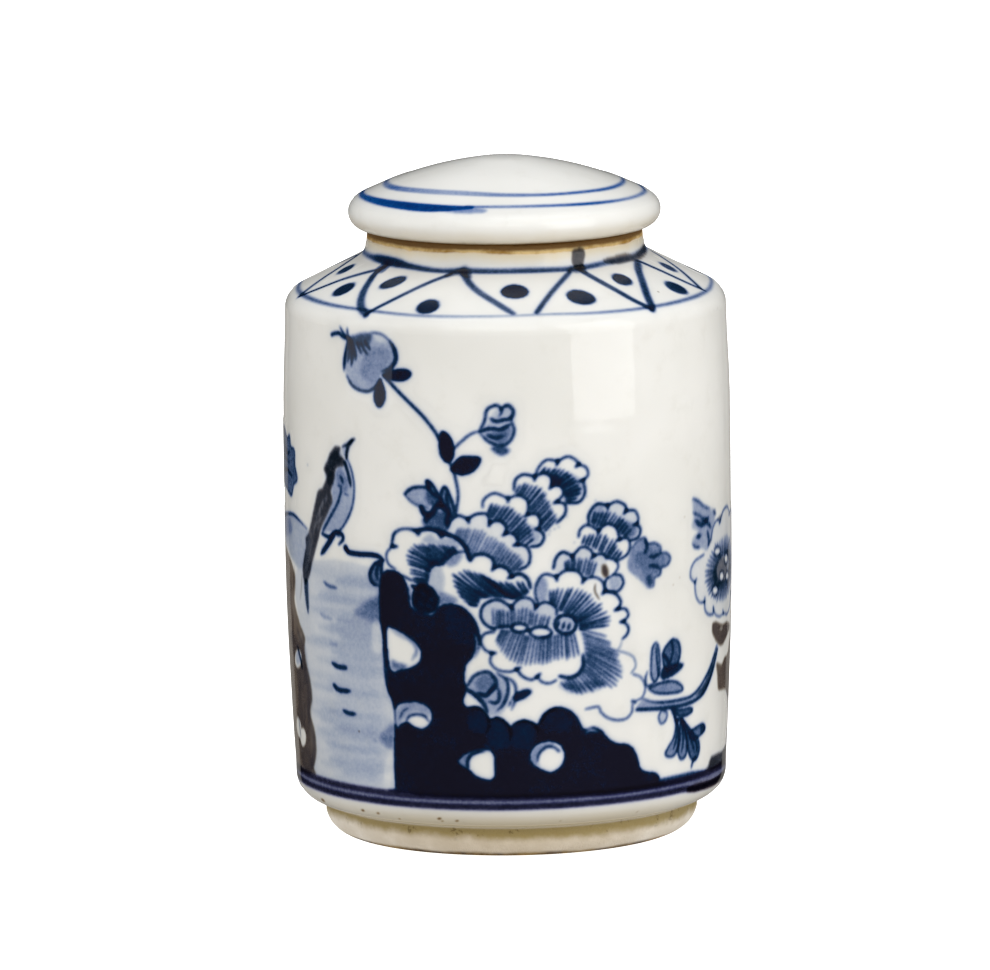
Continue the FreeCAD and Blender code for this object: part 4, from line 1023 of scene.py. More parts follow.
def paint_shoulder(sheet):
    """The zigzag band of the shoulder: two rings, slanted strokes, and a dot in each gap."""
    sheet.begin("painted_shoulder_band")
    top = sheet.surface.h[-1]
    degree = math.pi * GIRTH_R / 180

    def at(places):
        return [(angle * degree, top - down) for angle, down in places]

    for ring in (
            [(-95, 5.0, 0.8, 0.4), (-72, 5.0, 1.2, 0.6), (-62, 4.9, 1.9, 0.85), (-50, 5.1, 2.1, 0.95),
             (-42, 5.5, 1.4, 0.85), (-28, 6.1, 1.2, 0.7), (-17, 5.8, 1.4, 0.75), (-4, 5.8, 1.3, 0.7),
             (12, 5.8, 1.3, 0.7), (24, 6.0, 1.2, 0.66), (34, 5.9, 1.2, 0.7), (46, 5.4, 1.3, 0.42),
             (60, 5.4, 1.4, 0.3), (72, 5.0, 1.4, 0.34), (84, 4.9, 1.2, 0.45), (110, 5.2, 1.1, 0.5),
             (150, 5.4, 0.9, 0.5), (190, 5.2, 1.0, 0.55), (230, 5.3, 0.9, 0.5), (269, 5.0, 0.8, 0.4)],
            [(-95, 22.6, 0.8, 0.5), (-70, 23.2, 1.1, 0.55), (-55, 23.5, 0.9, 0.55), (-42, 23.5, 0.8, 0.5),
             (-27, 23.9, 0.6, 0.45), (-19, 23.9, 0.7, 0.32), (0, 23.5, 0.6, 0.26), (12, 23.3, 0.6, 0.3),
             (24, 23.8, 0.6, 0.45), (40, 23.9, 0.7, 0.55), (60, 23.6, 0.9, 0.55), (76, 23.1, 0.75, 0.5),
             (92, 22.5, 0.7, 0.45), (140, 23.2, 0.7, 0.5), (200, 23.6, 0.6, 0.4), (240, 23.2, 0.7, 0.5),
             (269, 22.6, 0.8, 0.5)]):
        sheet.band([(angle * degree, top - down, width, 0.78 * ink) for angle, down, width, ink in ring],
            soft=0.6)
    strokes = [([(-93, 6), (-86, 11), (-81.5, 17), (-76, 24)], 1.3, 0.42), ([(-75.5, 23.6), (-72, 19),
        (-68, 14.6), (-62.5, 11), (-57.5, 8.6)], 1.15, 0.5), ([(-55, 6), (-55.4, 9), (-52.6, 13),
        (-48.6, 18), (-44, 22.4), (-39.8, 25)], 1.55, 0.52), ([(-40, 25), (-37, 20.4), (-32.5, 15),
        (-27.5, 10.6), (-21.5, 7)], 0.95, 0.52), ([(-17, 5.6), (-14.8, 8.4), (-10.6, 12.4), (-5.6, 16.2),
        (-2, 19), (2, 22.6)], 1.35, 0.48), ([(8.4, 22.6), (11, 19), (15, 14.6), (20, 10.6), (25.6, 7)],
        0.95, 0.56), ([(42.2, 24.6), (39.6, 20.6), (37, 15.6), (33.6, 10.6), (30.6, 6.6)], 1.4, 0.5),
        ([(42.6, 24.6), (46.4, 19), (51.4, 14), (57, 9.8), (63.6, 7)], 1.6, 0.52), ([(65, 7),
        (68.4, 12.6), (70.6, 18), (72.6, 22.6)], 1.2, 0.46), ([(72.6, 21.8), (77, 18), (82, 14.6),
        (87, 11), (93, 7)], 1.1, 0.42)]
    apexes = [101, 134, 167, 200, 233, 267]
    for left, right in zip(apexes, apexes[1:]):
        foot = (left + right) / 2
        strokes.append(([(left, 6.4), (left + 5, 11), ((left + foot) / 2 + 2, 16), (foot, 24.2)], 1.3,
            0.5))
        strokes.append(([(foot, 24.2), ((right + foot) / 2 - 2, 16), (right - 5, 11), (right, 6.6)], 1.1,
            0.5))
    for places, width, ink in strokes:
        sheet.line(at(places), width * 1.15, ink * 0.92, (0.85, 0.75), iron=0.05, soft=0.45)
        sheet.line(at(places[:3]), width * 0.7, ink * 0.3, (0.9, 0.2), soft=0.6)
    sheet.patch(at([(-58, 5), (-52.6, 4.8), (-52.2, 7), (-52, 9), (-55, 9), (-58.4, 8)]), 0.3, soft=0.5)
    sheet.patch(at([(-23.6, 7.4), (-18.6, 5), (-14.6, 5), (-12.8, 8.6), (-16.6, 7.6), (-19.4, 7.4),
        (-22.4, 8.4)]), 0.3, 0.15, soft=0.5)
    sheet.patch(at([(25, 7), (27, 5.4), (33, 5.4), (32.6, 7.8), (30.2, 7.6), (27.6, 7.4)]), 0.3, 0.15,
        soft=0.5)
    dots = [(-76.7, 11.2, 4.3, 4.5, 0.5, 0), (-59.3, 17.4, 5.3, 5.7, 0.62, 0),
        (-42, 12, 5.9, 4.6, 0.62, 28), (-22.8, 20.3, 5.2, 5.7, 0.64, 0), (3, 13.8, 6.3, 5.4, 0.78, 0),
        (23.5, 17.3, 6.6, 5.9, 0.7, -12), (43.8, 12.2, 4.9, 4.8, 0.7, 0), (61.5, 19, 5.6, 5.8, 0.56, 0),
        (77, 12.2, 4.0, 4.8, 0.42, 0)]
    for k, (left, right) in enumerate(zip(apexes, apexes[1:])):
        dots.append(((left + right) / 2, 12, 5.0, 4.9, 0.66, 10 * k))
        dots.append((left, 19, 5.2, 5.4, 0.62, -10 * k))
    for angle, down, wide, tall, ink, turn in dots:
        radius = float(sheet.surface.at(np.array([top - down]))[0][0])
        sheet.patch(sheet.oval((angle * degree, top - down), wide * GIRTH_R / radius, tall, turn),
            ink * 1.05, 0.08, soft=0.3)
    sheet.patch(at([(28.6, 2.4), (29.4, 1.4), (33.6, 1.3), (34.6, 2.8), (33.4, 4.6), (32.6, 6), (29, 6),
        (28.4, 4)]), 0.3, 0.6, soft=0.4)
    sheet.patch(at([(44, 4.6), (58, 4.1), (66, 4.8), (82, 3.8), (86, 5.2), (70, 6.4), (60, 6.4),
        (48, 6)]), 0.14, 0.42, soft=0.5)


for paint in (paint_pale_rock, paint_cliff, paint_left_rock, paint_far_leaf, paint_bottom_rings,
        paint_twig, paint_bird, paint_lobed_leaf, paint_pomegranate, paint_bud, paint_leaf_cluster,
        paint_branch, paint_rock, paint_left_peony, paint_right_peony, paint_low_bud, paint_edge_peony,
        paint_specks, paint_shoulder):
    paint(jar_sheet)
jar_sheet.repeat(-1.0, BACK_ALONG, "_back")
for paint in (paint_cliff, paint_twig, paint_lobed_leaf, paint_pomegranate, paint_bud, paint_leaf_cluster,
              paint_branch, paint_rock, paint_left_peony, paint_right_peony, paint_low_bud):
    paint(jar_sheet)


# ---------------------------------------------------------------- the lid

lid_top = lid_surface.h[-1] + lid_surface.rows[-1, 0]
lid_sheet = Sheet(lid_surface, LID_GIRTH_R, lid_top - 38.0, lid_top - 8.0, CELL)
clouds[lid_sheet] = 0.6 * cloud(lid_sheet.cobalt.shape, 22, 3) + 0.4 * cloud(lid_sheet.cobalt.shape, 7, 4)


def paint_lid_rings(sheet):
    """Two brushed rings on the lid, the outer one heavy where the brush was loaded."""
    sheet.begin("painted_lid_rings")
    degree = math.pi * LID_GIRTH_R / 180
    for ring in (
            [(-182, 33.8, 0.9, 0.42), (-130, 34.1, 0.9, 0.4), (-92, 34.6, 1.2, 0.42),
             (-72, 34.3, 1.9, 0.5), (-52, 34.1, 2.7, 0.6), (-34, 34.1, 3.0, 0.66), (-25, 33.8, 2.4, 0.6),
             (-14, 33.1, 1.0, 0.5)],
            [(-16, 32.8, 0.9, 0.3), (0, 32.7, 1.1, 0.26), (18, 32.9, 1.1, 0.32), (40, 33.6, 1.1, 0.44),
             (60, 34.1, 1.0, 0.28), (85, 34.2, 1.0, 0.3), (100, 33.3, 0.9, 0.4), (140, 33.6, 0.9, 0.38),
             (180, 33.8, 0.9, 0.42)],
            [(-182, 28.1, 1.1, 0.3), (-130, 28.3, 1.1, 0.3), (-90, 28.4, 1.4, 0.26),
             (-70, 28.2, 1.9, 0.3), (-46, 27.3, 2.2, 0.2), (-22, 26.9, 2.1, 0.18), (0, 27.5, 1.6, 0.24),
             (22, 28.1, 1.2, 0.3), (42, 28.4, 1.1, 0.38), (62, 28.8, 1.1, 0.4), (92, 28.7, 1.0, 0.3),
             (140, 28.3, 1.1, 0.3), (180, 28.1, 1.1, 0.3)]):
        sheet.band([(angle * degree, lid_top - down, width, ink) for angle, down, width, ink in ring],
            soft=0.45)
    sheet.patch([(angle * degree, lid_top - down) for angle, down in ((-26, 34.8), (-20, 33.8),
        (-10, 33.5), (-7, 34.6), (-10, 35.4), (-20, 35.5))], 0.22, soft=0.4)


paint_lid_rings(lid_sheet)


# ---------------------------------------------------------------- from the sheet to shells

def settle(sheet, seed):
    """Uneven flow of the pigment, and the pale blue that bleeds a little way into the glaze."""
    shape = sheet.cobalt.shape
    flow = 0.5 * cloud(shape, 26, seed) + 0.3 * cloud(shape, 9, seed + 1) + 0.2 * cloud(shape, 4, seed + 2)
    bleed = np.clip(sheet.cobalt, 0, 1)
    for _ in range(BLEED_ROUNDS):
        bleed = blurred(bleed)
    drawn = blurred(blurred(np.maximum(sheet.cobalt, 0)))
    sheet.cobalt = np.clip(drawn, 0, MOST_COBALT) * (0.86 + 0.28 * flow) + BLEED_SHARE * bleed
    sheet.iron = np.clip(blurred(np.maximum(sheet.iron, 0)), 0, MOST_IRON)


def widened(label):
    """The labels with one more block all round, where the shell can dip into the wall."""
    for axis in (0, 1):
        for turn in (1, -1):
            beside = np.roll(label, turn, axis)
            if axis == 0:
                beside[0 if turn == 1 else -1] = 0
            label = np.where(label > 0, label, beside)
    return label


def joined_corners(label, count):
    """Fills in where two blocks of one piece meet at a corner only. True if any did."""
    changed = False
    wide = label.shape[1]
    for number in range(1, count):
        for rising in (True, False):
            mine, above = label[:-1] == number, label[1:] == number
            mine_next, above_next = np.roll(mine, -1, 1), np.roll(above, -1, 1)
            if rising:
                corners = mine & above_next & ~mine_next & ~above
            else:
                corners = mine_next & above & ~mine & ~above_next
            for i, j in np.argwhere(corners):
                label[i, (j + rising) % wide] = number
                changed = True
    return changed


def blocks_of(sheet):
    """Which piece each block of the sheet belongs to, 0 where it holds no paint."""
    tall, wide = sheet.rows // BLOCK, sheet.columns // BLOCK
    inked = np.maximum(sheet.cobalt, sheet.iron) > INKED
    wrap = np.concatenate([inked, inked[:, :1]], 1)
    held = np.zeros((tall, wide), bool)
    votes = np.zeros((len(sheet.names), tall, wide))
    owner = np.concatenate([sheet.owner, sheet.owner[:, :1]], 1)
    for i in range(BLOCK + 1):
        for j in range(BLOCK + 1):
            mark = wrap[i:i + tall * BLOCK:BLOCK, j:j + wide * BLOCK:BLOCK]
            held |= mark
            who = owner[i:i + tall * BLOCK:BLOCK, j:j + wide * BLOCK:BLOCK]
            for number in range(1, len(sheet.names)):
                votes[number] += mark & (who == number)
    label = np.where(held, votes[1:].argmax(0) + 1, 0)
    label = widened(label)
    for _ in range(CORNER_ROUNDS):
        if not joined_corners(label, len(sheet.names)):
            break
    return label


def shell(sheet, name, label, number, body, material):
    """One closed thin shell over the blocks with this number, carrying the pigment."""
    blocks = np.argwhere(label == number)
    columns = sheet.columns
    step = np.arange(BLOCK + 1)
    rows = blocks[:, 0, None, None] * BLOCK + step[None, :, None] + np.zeros((1, 1, BLOCK + 1), int)
    across = blocks[:, 1, None, None] * BLOCK + step[None, None, :] + np.zeros((1, BLOCK + 1, 1), int)
    key = rows * columns + across % columns
    quads = np.stack([key[:, :-1, :-1], key[:, :-1, 1:], key[:, 1:, 1:], key[:, 1:, :-1]],
            -1).reshape(-1, 4)
    used, quads = np.unique(quads, return_inverse=True)
    quads = quads.reshape(-1, 4)
    row, column = used // columns, used % columns

    lift = lift_of(label > 0, row, column)
    r, z, outward, upward = sheet.surface.at(sheet.h[row])
    angle = (column * sheet.wide - sheet.girth / 2) / (sheet.girth / (2 * math.pi))
    sine, cosine = np.sin(angle), np.cos(angle)
    facing = np.stack([outward * sine, -outward * cosine, upward], 1)
    base = np.stack([r * sine, -r * cosine, z], 1)
    top = base + facing * lift[:, None]

    rim = np.concatenate([key[:, 0, :-1], key[:, :-1, -1], key[:, -1, :0:-1], key[:, :0:-1, 0]], 1)
    rim_used = np.unique(rim)
    under_of = np.full(rows.max() * columns + columns + 1, -1)
    top_of = np.full(under_of.shape, -1)
    top_of[used] = np.arange(len(used))
    under_of[rim_used] = len(used) + np.arange(len(rim_used))
    under = base[top_of[rim_used]] + facing[top_of[rim_used]] * PAINT_BACK
    places = np.concatenate([top, under]) * MM

    faces = [tuple(q) for q in quads.tolist()]
    faces += [tuple(reversed(loop)) for loop in under_of[rim].tolist()]
    starts, ends = rim, np.roll(rim, -1, 1)
    big = int(columns) * (sheet.rows + 2)
    forward = (starts.astype(np.int64) * big + ends).ravel()
    backward = (ends.astype(np.int64) * big + starts).ravel()
    open_edge = ~np.isin(forward, backward)
    a, b = starts.ravel()[open_edge], ends.ravel()[open_edge]
    faces += list(zip(under_of[a].tolist(), under_of[b].tolist(), top_of[b].tolist(), top_of[a].tolist()))

    mesh = bpy.data.meshes.new(name)
    mesh.from_pydata(places.tolist(), [], faces)
    for layer, values in (("cobalt", sheet.cobalt), ("iron", sheet.iron)):
        held = np.zeros(len(places), np.float32)
        held[:len(used)] = values[row, column]
        mesh.attributes.new(layer, "FLOAT", "POINT").data.foreach_set("value", held)
    mesh.polygons.foreach_set("use_smooth", np.ones(len(mesh.polygons), bool))
    normals = np.concatenate([facing, -facing[top_of[rim_used]]])
    mesh.normals_split_custom_set_from_vertices(normals.tolist())
    mesh.validate(verbose=False)
    mesh.materials.append(material)
    piece = in_scene(name, mesh)
    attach(piece, body)


def lift_of(covered, row, column):
    """How high the shell stands at each grid place: it dips into the wall at its outer border."""
    tall, wide = covered.shape
    padded = np.vstack([np.zeros((1, wide), bool), covered, covered[-1:]])
    left = np.roll(padded, 1, 1)
    inner = (padded[:-1] & padded[1:] & left[:-1] & left[1:]).astype(float)
    i, j = row // BLOCK, column // BLOCK
    u, v = (row % BLOCK) / BLOCK, (column % BLOCK) / BLOCK
    i1, j1 = np.minimum(i + 1, tall), (j + 1) % wide
    share = ((inner[i, j] * (1 - u) + inner[i1, j] * u) * (1 - v)
             + (inner[i, j1] * (1 - u) + inner[i1, j1] * u) * v)
    share = share * share * (3 - 2 * share)
    return PAINT_DIP + (PAINT_LIFT - PAINT_DIP) * share


# ---------------------------------------------------------------- materials

# Heights, in millimetres, over which one look gives way to the next
LOW_RINGS_END = (16.2, 17.0)
SHOULDER_START = (125.5, 128.5)
SHOULDER_END = (136.5, 138.5)
LID_START = (141.0, 143.0)
FOOT_CLAY_END = (6.9, 7.5)
# Up to here the low wall is stained, more strongly at the front as painted shade
FOOT_STAIN_AND_SHADE_END = (8.6, 13.5)
NECK_CLAY_START = (139.7, 140.6)
NECK_STAIN_START = (137.2, 140.8)
LID_CLAY_END = (142.7, 143.5)
LID_STAIN_END = (142.8, 147.2)


class Nodes:
    """Short words for building one material's nodes."""

    def __init__(self, name):
        self.material = bpy.data.materials.new(name)
        self.material.use_nodes = True
        self.tree = self.material.node_tree
        self.shader = self.tree.nodes["Principled BSDF"]

    def add(self, kind, **settings):
        """A new node of this kind."""
        node = self.tree.nodes.new(kind)
        for key, value in settings.items():
            setattr(node, key, value)
        return node

    def put(self, socket, value):
        """Links a socket to another, or sets its value."""
        if isinstance(value, bpy.types.NodeSocket):
            self.tree.links.new(value, socket)
        else:
            socket.default_value = value

    def math(self, operation, a, b=0.0, c=0.0):
        node = self.add("ShaderNodeMath", operation=operation)
        for socket, value in zip(node.inputs, (a, b, c)):
            self.put(socket, value)
        return node.outputs[0]

    def times(self, a, b):
        return self.math("MULTIPLY", a, b)

    def times_plus(self, a, b, c):
        """a times b, plus c."""
        return self.math("MULTIPLY_ADD", a, b, c)

    def mix(self, factor, a, b, blend="MIX"):
        node = self.add("ShaderNodeMix", data_type="RGBA", blend_type=blend, clamp_factor=True)
        for socket, value in zip((node.inputs[0], node.inputs[6], node.inputs[7]), (factor, a, b)):
            self.put(socket, value)
        return node.outputs[2]

    def noise(self, scale, detail=2.0, rough=0.5, stretch=(1, 1, 1)):
        node = self.add("ShaderNodeTexNoise")
        self.put(node.inputs["Vector"], self.spread(stretch))
        self.put(node.inputs["Scale"], scale)
        self.put(node.inputs["Detail"], detail)
        self.put(node.inputs["Roughness"], rough)
        return node.outputs["Fac"]

    def spread(self, stretch):
        """The shaded point, scaled along each axis."""
        place = self.add("ShaderNodeTexCoord").outputs["Object"]
        if stretch == (1, 1, 1):
            return place
        mapping = self.add("ShaderNodeMapping")
        self.put(mapping.inputs["Vector"], place)
        self.put(mapping.inputs["Scale"], stretch)
        return mapping.outputs[0]

    def ramp(self, value, stops):
        node = self.add("ShaderNodeValToRGB")
        elements = node.color_ramp.elements
        while len(elements) < len(stops):
            elements.new(0.5)
        for element, (position, colour) in zip(elements, stops):
            element.position = position
            element.color = colour
        self.put(node.inputs[0], value)
        return node.outputs["Color"]

    def between(self, value, low, high):
        """0 below low, 1 above high, smooth between."""
        node = self.add("ShaderNodeMapRange", interpolation_type="SMOOTHSTEP")
        for socket, number in zip(node.inputs, (value, low, high, 0.0, 1.0)):
            self.put(socket, number)
        return node.outputs[0]


def rgb(code):
    """A colour written as rrggbb, in linear light."""
    parts = [int(code[k:k + 2], 16) / 255 for k in (0, 2, 4)]
    return tuple(c / 12.92 if c <= 0.04045 else ((c + 0.055) / 1.055) ** 2.4 for c in parts) + (1.0,)


def place_parts(nodes):
    """The x, y and z of the shaded point, in metres."""
    split = nodes.add("ShaderNodeSeparateXYZ")
    nodes.put(split.inputs[0], nodes.add("ShaderNodeTexCoord").outputs["Object"])
    return split.outputs


def cylinder_place(nodes):
    """Radius and height of the shaded point, in millimetres."""
    x, y, z = place_parts(nodes)
    flat = nodes.math("ADD", nodes.times(x, x), nodes.times(y, y))
    radius = nodes.times(nodes.math("SQRT", flat), 1 / MM)
    return radius, nodes.times(z, 1 / MM)


def pigment(nodes, glaze):
    """The glaze colour with the cobalt and iron of the painting under it."""
    cobalt = nodes.add("ShaderNodeAttribute", attribute_name="cobalt").outputs["Fac"]
    iron = nodes.add("ShaderNodeAttribute", attribute_name="iron").outputs["Fac"]
    height = cylinder_place(nodes)[1]
    grain = nodes.times_plus(nodes.noise(1100.0, 3.0, 0.65), 0.70, 0.65)
    depth = nodes.math("DIVIDE", nodes.times(cobalt, grain), MOST_COBALT)
    steps = (0.0, 0.05, 0.12, 0.20, 0.28, 0.36, 0.44, 0.54, 0.66, 0.80, 1.0)
    teal = ("ffffff", "dce2ee", "b5c1da", "8d9dc4", "647aa6", "3e5884", "214068", "112e50", "112342",
            "161f3a", "1b1b2c")
    bright = ("ffffff", "dce2f0", "b4c1de", "8298c8", "4c71b6", "1f5ca4", "0c4c98", "083e86", "0a3070",
            "0f2550", "121a34")
    indigo = ("ffffff", "dee0ee", "bcc0da", "9498c2", "70789f", "4c5280", "343a66", "262b50", "1c2042",
            "191b38", "1b1b2c")
    garden, lid_rings, low_rings = (nodes.ramp(depth, [(step, rgb(code)) for step,
            code in zip(steps, codes)]) for codes in (teal, bright, indigo))
    blue = nodes.mix(nodes.between(height, *LID_START), garden, lid_rings)
    blue = nodes.mix(nodes.between(height, *LOW_RINGS_END), low_rings, blue)
    brown = nodes.ramp(nodes.math("DIVIDE", iron, MOST_IRON), [(0.0, rgb("ffffff")), (0.2, rgb("cdc0ae")),
            (0.45, rgb("8f7a68")), (0.75, rgb("5c4842")), (1.0, rgb("332724"))])
    return nodes.mix(1.0, nodes.mix(1.0, glaze, blue, "MULTIPLY"), brown, "MULTIPLY")


def glaze_colour(nodes):
    """Off-white porcelain under clear glaze: slow drifts of tone and a few iron dots."""
    drift = nodes.noise(22.0, 3.0, 0.55)
    fine = nodes.noise(160.0, 4.0, 0.6)
    tone = nodes.mix(nodes.between(drift, 0.3, 0.72), rgb("e2e1dc"), rgb("ebeae6"))
    tone = nodes.mix(nodes.times(nodes.between(fine, 0.52, 0.78), 0.35), tone, rgb("dbd9d2"))
    dots = nodes.add("ShaderNodeTexVoronoi", feature="F1")
    nodes.put(dots.inputs["Vector"], nodes.spread((1, 1, 1)))
    nodes.put(dots.inputs["Scale"], 95.0)
    speck = nodes.math("SUBTRACT", 1.0, nodes.between(dots.outputs["Distance"], 0.02, 0.045))
    rare = nodes.between(nodes.noise(48.0, 1.0, 0.4), 0.60, 0.66)
    return nodes.mix(nodes.times(nodes.times(speck, rare), 0.6), tone, rgb("8a7a66"))


def glaze_bumps(nodes, bare):
    """The ripple of thick glaze, the rings of the turning, and the grain of bare clay."""
    normal = None
    for strength, distance, height in (
            (0.10, 0.0006, nodes.noise(85.0, 2.0, 0.5)),
            (0.06, 0.0008, nodes.noise(60.0, 2.0, 0.5, (0.25, 0.25, 1.6))),
            (nodes.times(bare, 0.7), 0.0004, nodes.noise(1500.0, 4.0, 0.7))):
        bump = nodes.add("ShaderNodeBump")
        for socket, value in (("Strength", strength), ("Distance", distance), ("Height", height),
                ("Normal", normal)):
            if value is not None:
                nodes.put(bump.inputs[socket], value)
        normal = bump.outputs[0]
    nodes.put(nodes.shader.inputs["Normal"], normal)


def porcelain(name, base, painted=False):
    """Glossy where glazed, dry where bare, with the painting under the glaze if asked."""
    nodes = Nodes(name)
    colour, bare = base(nodes)
    if painted:
        colour = pigment(nodes, colour)
    glaze_bumps(nodes, bare)
    shader = nodes.shader
    nodes.put(shader.inputs["Base Color"], colour)
    smooth = nodes.times_plus(nodes.noise(40.0, 2.0, 0.5), 0.04, 0.03)
    height = cylinder_place(nodes)[1]
    shoulder = nodes.times(nodes.between(height, *SHOULDER_START), below(nodes, height, *SHOULDER_END))
    satin = nodes.times_plus(shoulder, 0.2, smooth)
    nodes.put(shader.inputs["Roughness"], nodes.times_plus(bare, 0.62, satin))
    shader.inputs["IOR"].default_value = 1.52
    shader.inputs["Subsurface Weight"].default_value = 0.08
    shader.inputs["Subsurface Radius"].default_value = (0.004, 0.0035, 0.003)
    shader.inputs["Subsurface Scale"].default_value = 1.0
    return nodes.material


def below(nodes, value, low, high):
    """1 below low, 0 above high, smooth between."""
    return nodes.math("SUBTRACT", 1.0, nodes.between(value, low, high))


def jar_base(nodes):
    """Glaze on the wall, bare stained clay on the foot and the neck's upper edge, with painted shade on the
    front of the foot and low wall, and just under the lid.
    """
    radius, height = cylinder_place(nodes)
    ragged = nodes.times_plus(nodes.noise(70.0, 4.0, 0.65), 2.2, -1.1)
    mottle = nodes.noise(120.0, 5.0, 0.65)
    outside = nodes.between(radius, 30.8, 31.6)
    foot = below(nodes, nodes.times_plus(ragged, 0.25, height), *FOOT_CLAY_END)
    # Painted shade: this mask makes the foot and the low wall darker towards the front
    front = nodes.between(nodes.times(place_parts(nodes)[1], -1 / MM), 22.0, 47.0)
    neck = nodes.times(outside, nodes.between(nodes.math("ADD", height, ragged), *NECK_CLAY_START))

    glaze = glaze_colour(nodes)
    # A warm stain low on the wall everywhere, made stronger towards the front as painted shade
    low_stain_and_front_shade = nodes.times(below(nodes, height, *FOOT_STAIN_AND_SHADE_END), nodes.times_plus(front, 0.62, 0.35))
    glaze = nodes.mix(low_stain_and_front_shade, glaze, rgb("c8bea8"))
    stain = nodes.between(nodes.times_plus(ragged, 1.6, height), *NECK_STAIN_START)
    glaze = nodes.mix(nodes.times(nodes.times(stain, outside), 0.62), glaze, rgb("e2cc98"))

    clay = nodes.mix(nodes.between(mottle, 0.35, 0.7), rgb("e0d6c6"), rgb("f0e8dc"))
    # Painted shade: the bare foot clay is darkened towards the front
    clay = nodes.mix(front, clay, rgb("ebe4d8"), "MULTIPLY")
    hollow = nodes.times(nodes.between(nodes.times_plus(ragged, 2.2, height), 3.6, 6.2),
                        below(nodes, height, 6.6, 8.2))
    clay = nodes.mix(nodes.times(hollow, 0.9), clay, rgb("9c8748"))
    speck = nodes.times(nodes.between(nodes.noise(420.0, 3.0, 0.7), 0.58, 0.68), hollow)
    clay = nodes.mix(nodes.times(speck, 0.6), clay, rgb("5c4818"))
    worn = nodes.times(below(nodes, nodes.times_plus(ragged, 0.8, height), 0.4, 1.5), 0.95)
    clay = nodes.mix(worn, clay, nodes.mix(nodes.between(mottle, 0.4, 0.6), rgb("957430"), rgb("4c330c")))

    rust = nodes.mix(nodes.between(mottle, 0.35, 0.65), rgb("a07626"), rgb("e2c486"))
    # Darker brown just under the lid: partly a ragged stain line, partly painted shade from the lid
    dark_line_and_lid_shade = nodes.between(nodes.times_plus(ragged, 0.6, height), 140.6, 141.5)
    rust = nodes.mix(dark_line_and_lid_shade, rust, rgb("755218"))
    clay = nodes.mix(neck, clay, rust)
    bare = nodes.math("MAXIMUM", foot, neck)
    return nodes.mix(bare, glaze, clay), bare


def lid_base(nodes):
    """Glaze on the dome, bare clay on the seat and the ring that drops into the neck."""
    radius, height = cylinder_place(nodes)
    ragged = nodes.times_plus(nodes.noise(60.0, 4.0, 0.65), 1.0, -0.5)
    edge = nodes.times_plus(ragged, 0.9, height)
    bare = nodes.times(below(nodes, edge, *LID_CLAY_END), nodes.between(radius, 23.0, 24.0))
    mottle = nodes.noise(130.0, 5.0, 0.65)
    clay = nodes.mix(nodes.between(mottle, 0.35, 0.7), rgb("a5875a"), rgb("cdbb98"))
    clay = nodes.mix(nodes.times(nodes.between(radius, 32.0, 33.4), 0.7), clay, rgb("5e4414"))
    tint = nodes.times(below(nodes, nodes.times_plus(ragged, 2.4, height), *LID_STAIN_END), 0.5)
    glaze = nodes.mix(tint, glaze_colour(nodes), rgb("d6c39a"))
    return nodes.mix(bare, glaze, clay), bare


# ---------------------------------------------------------------- putting it together

def dress(node, material):
    """Gives a CAD node its material."""
    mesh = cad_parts[node].data
    mesh.materials.clear()
    mesh.materials.append(material)


for sheet, body, base, seed in ((jar_sheet, "jar", jar_base, 11), (lid_sheet, "lid", lid_base, 21)):
    dress(body, porcelain(body + "_porcelain", base))
    painted = porcelain(body + "_painting", base, painted=True)
    settle(sheet, seed)
    label = blocks_of(sheet)
    for number, name in enumerate(sheet.names):
        if number and (label == number).any():
            shell(sheet, name, label, number, body, painted)


# ---------------------------------------------------------------- the room

def floor():
    """A pale floor that lifts into a backdrop far behind."""
    profile = [(-2.5, 0.0), (3.0, 0.0), (3.6, 0.12), (4.0, 0.6), (4.1, 1.4), (4.1, 6.0)]
    line = curve(profile, step=0.1)
    across = np.linspace(-5.0, 5.0, 3)
    places = [(x, y, z) for y, z in line for x in across]
    faces = [(3 * k + j, 3 * k + j + 1, 3 * k + j + 4,
            3 * k + j + 3) for k in range(len(line) - 1) for j in range(2)]
    mesh = bpy.data.meshes.new("studio_floor")
    mesh.from_pydata(places, [], faces)
    mesh.polygons.foreach_set("use_smooth", np.ones(len(faces), bool))
    piece = in_scene("studio_floor", mesh)
    nodes = Nodes("studio_floor")
    nodes.put(nodes.shader.inputs["Base Color"], nodes.mix(nodes.noise(3.0), (0.93, 0.93, 0.925, 1),
            (0.95, 0.95, 0.945, 1)))
    nodes.shader.inputs["Roughness"].default_value = 0.9
    nodes.shader.inputs["Specular IOR Level"].default_value = 0.0
    nodes.shader.inputs["Emission Color"].default_value = (1, 1, 1, 1)
    nodes.shader.inputs["Emission Strength"].default_value = 0.94
    mesh.materials.append(nodes.material)
    piece.visible_diffuse = False
    piece.visible_glossy = False
    piece.visible_shadow = False


def softbox(name, place, aim_height, wide, tall, power, colour):
    """A rectangular soft light that points at a height on the jar's axis."""
    data = bpy.data.lights.new(name, "AREA")
    data.shape = "RECTANGLE"
    data.size, data.size_y = wide, tall
    data.energy = power
    data.color = colour
    lamp = in_scene(name, data)
    lamp.location = place
    aim = Vector((0, 0, aim_height)) - Vector(place)
    lamp.rotation_euler = aim.to_track_quat("-Z", "Y").to_euler()


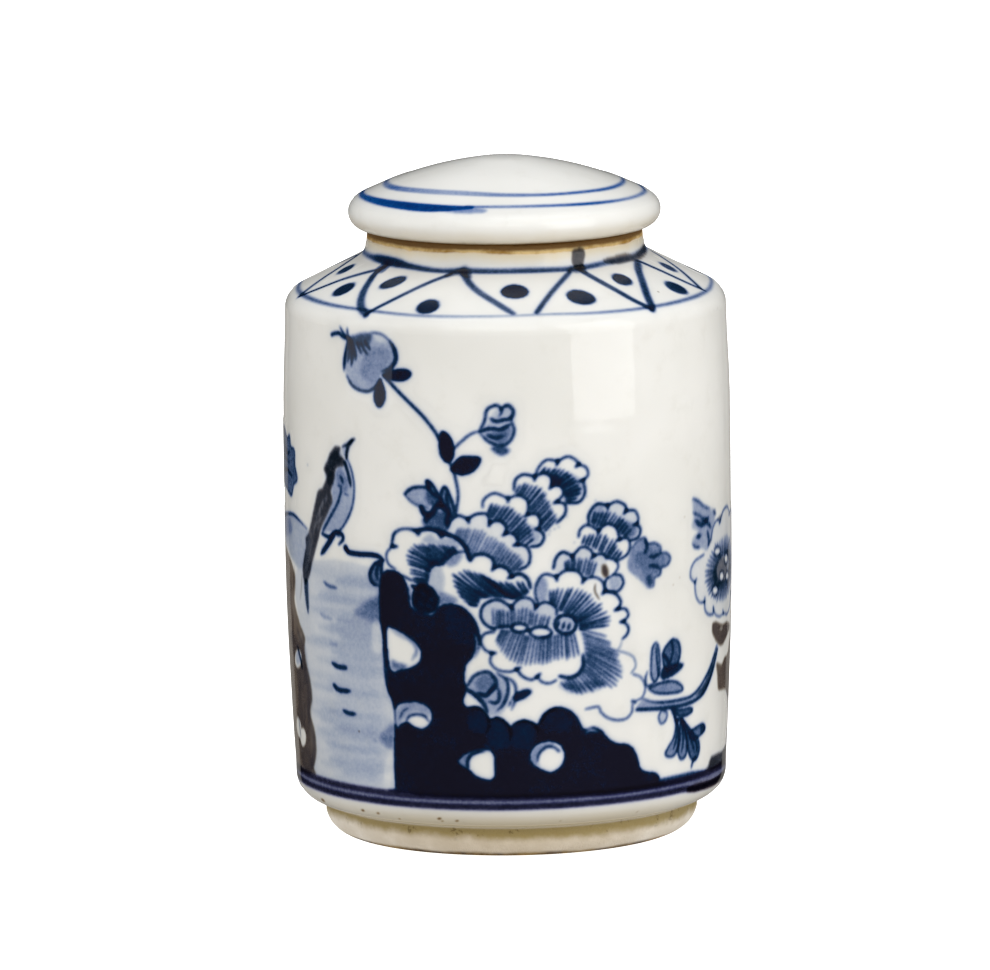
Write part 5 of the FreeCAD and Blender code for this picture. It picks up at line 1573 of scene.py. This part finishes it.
def camera():
    """A long lens a little above the jar, tipped a little as a hand-held frame is."""
    middle = (cad_box[0] + cad_box[1]) / 2
    aim = middle + Vector((-0.0030, 0.0, 0.00155))
    rise = math.radians(CAMERA_RISE)
    back = Vector((0.0, -math.cos(rise), math.sin(rise)))
    data = bpy.data.cameras.new("camera")
    data.lens = CAMERA_LENS
    data.sensor_width = 36.0
    data.clip_start, data.clip_end = 0.1, 50.0
    eye = in_scene("camera", data)
    turn = (-back).to_track_quat("-Z", "Y").to_matrix() @ Matrix.Rotation(math.radians(CAMERA_TIP), 3, "Z")
    eye.matrix_world = Matrix.Translation(aim + back * CAMERA_DISTANCE) @ turn.to_4x4()
    bpy.context.scene.camera = eye


def around(azimuth, distance, height):
    """A place seen at an angle from the front, turning to the right."""
    a = math.radians(azimuth)
    return (distance * math.sin(a), -distance * math.cos(a), height)


floor()
camera()
for name, place, aim_height, wide, tall, power, colour in (
        ("key", around(50, 0.62, 0.31), 0.09, 0.44, 0.62, 1.45, (1, 1, 1)),
        ("front", around(-8, 1.5, 1.15), 0.1, 1.5, 0.8, 3.3, (1, 1, 1)),
        ("overhead", (0.0, -0.3, 1.2), 0.1, 1.2, 0.9, 2.8, (0.93, 0.97, 1.0)),
        ("fill_left", around(-75, 1.2, 0.4), 0.06, 0.7, 0.9, 1.35, (0.96, 0.98, 1.0)),
        ("edge_glow", around(180, 1.4, -0.32), -0.1, 1.3, 0.6, 0.6, (1.0, 0.95, 0.88))):
    softbox(name, place, aim_height, wide, tall, power, colour)


def room_light():
    """White light from all round, dimmer and warmer from below, and not mirrored in the glaze."""
    world = bpy.data.worlds.new("studio")
    bpy.context.scene.world = world
    world.use_nodes = True
    tree = world.node_tree
    split = tree.nodes.new("ShaderNodeSeparateXYZ")
    tree.links.new(tree.nodes.new("ShaderNodeTexCoord").outputs["Generated"], split.inputs[0])
    ramp = tree.nodes.new("ShaderNodeValToRGB")
    low, high = ramp.color_ramp.elements
    low.position, low.color = 0.0, (0.90, 0.87, 0.82, 1)
    high.position, high.color = 0.25, (1, 1, 1, 1)
    tree.links.new(split.outputs[2], ramp.inputs[0])
    background = tree.nodes["Background"]
    tree.links.new(ramp.outputs[0], background.inputs["Color"])
    background.inputs["Strength"].default_value = 0.83
    world.cycles_visibility.glossy = False


room_light()
bpy.context.scene.view_settings.view_transform = "Standard"
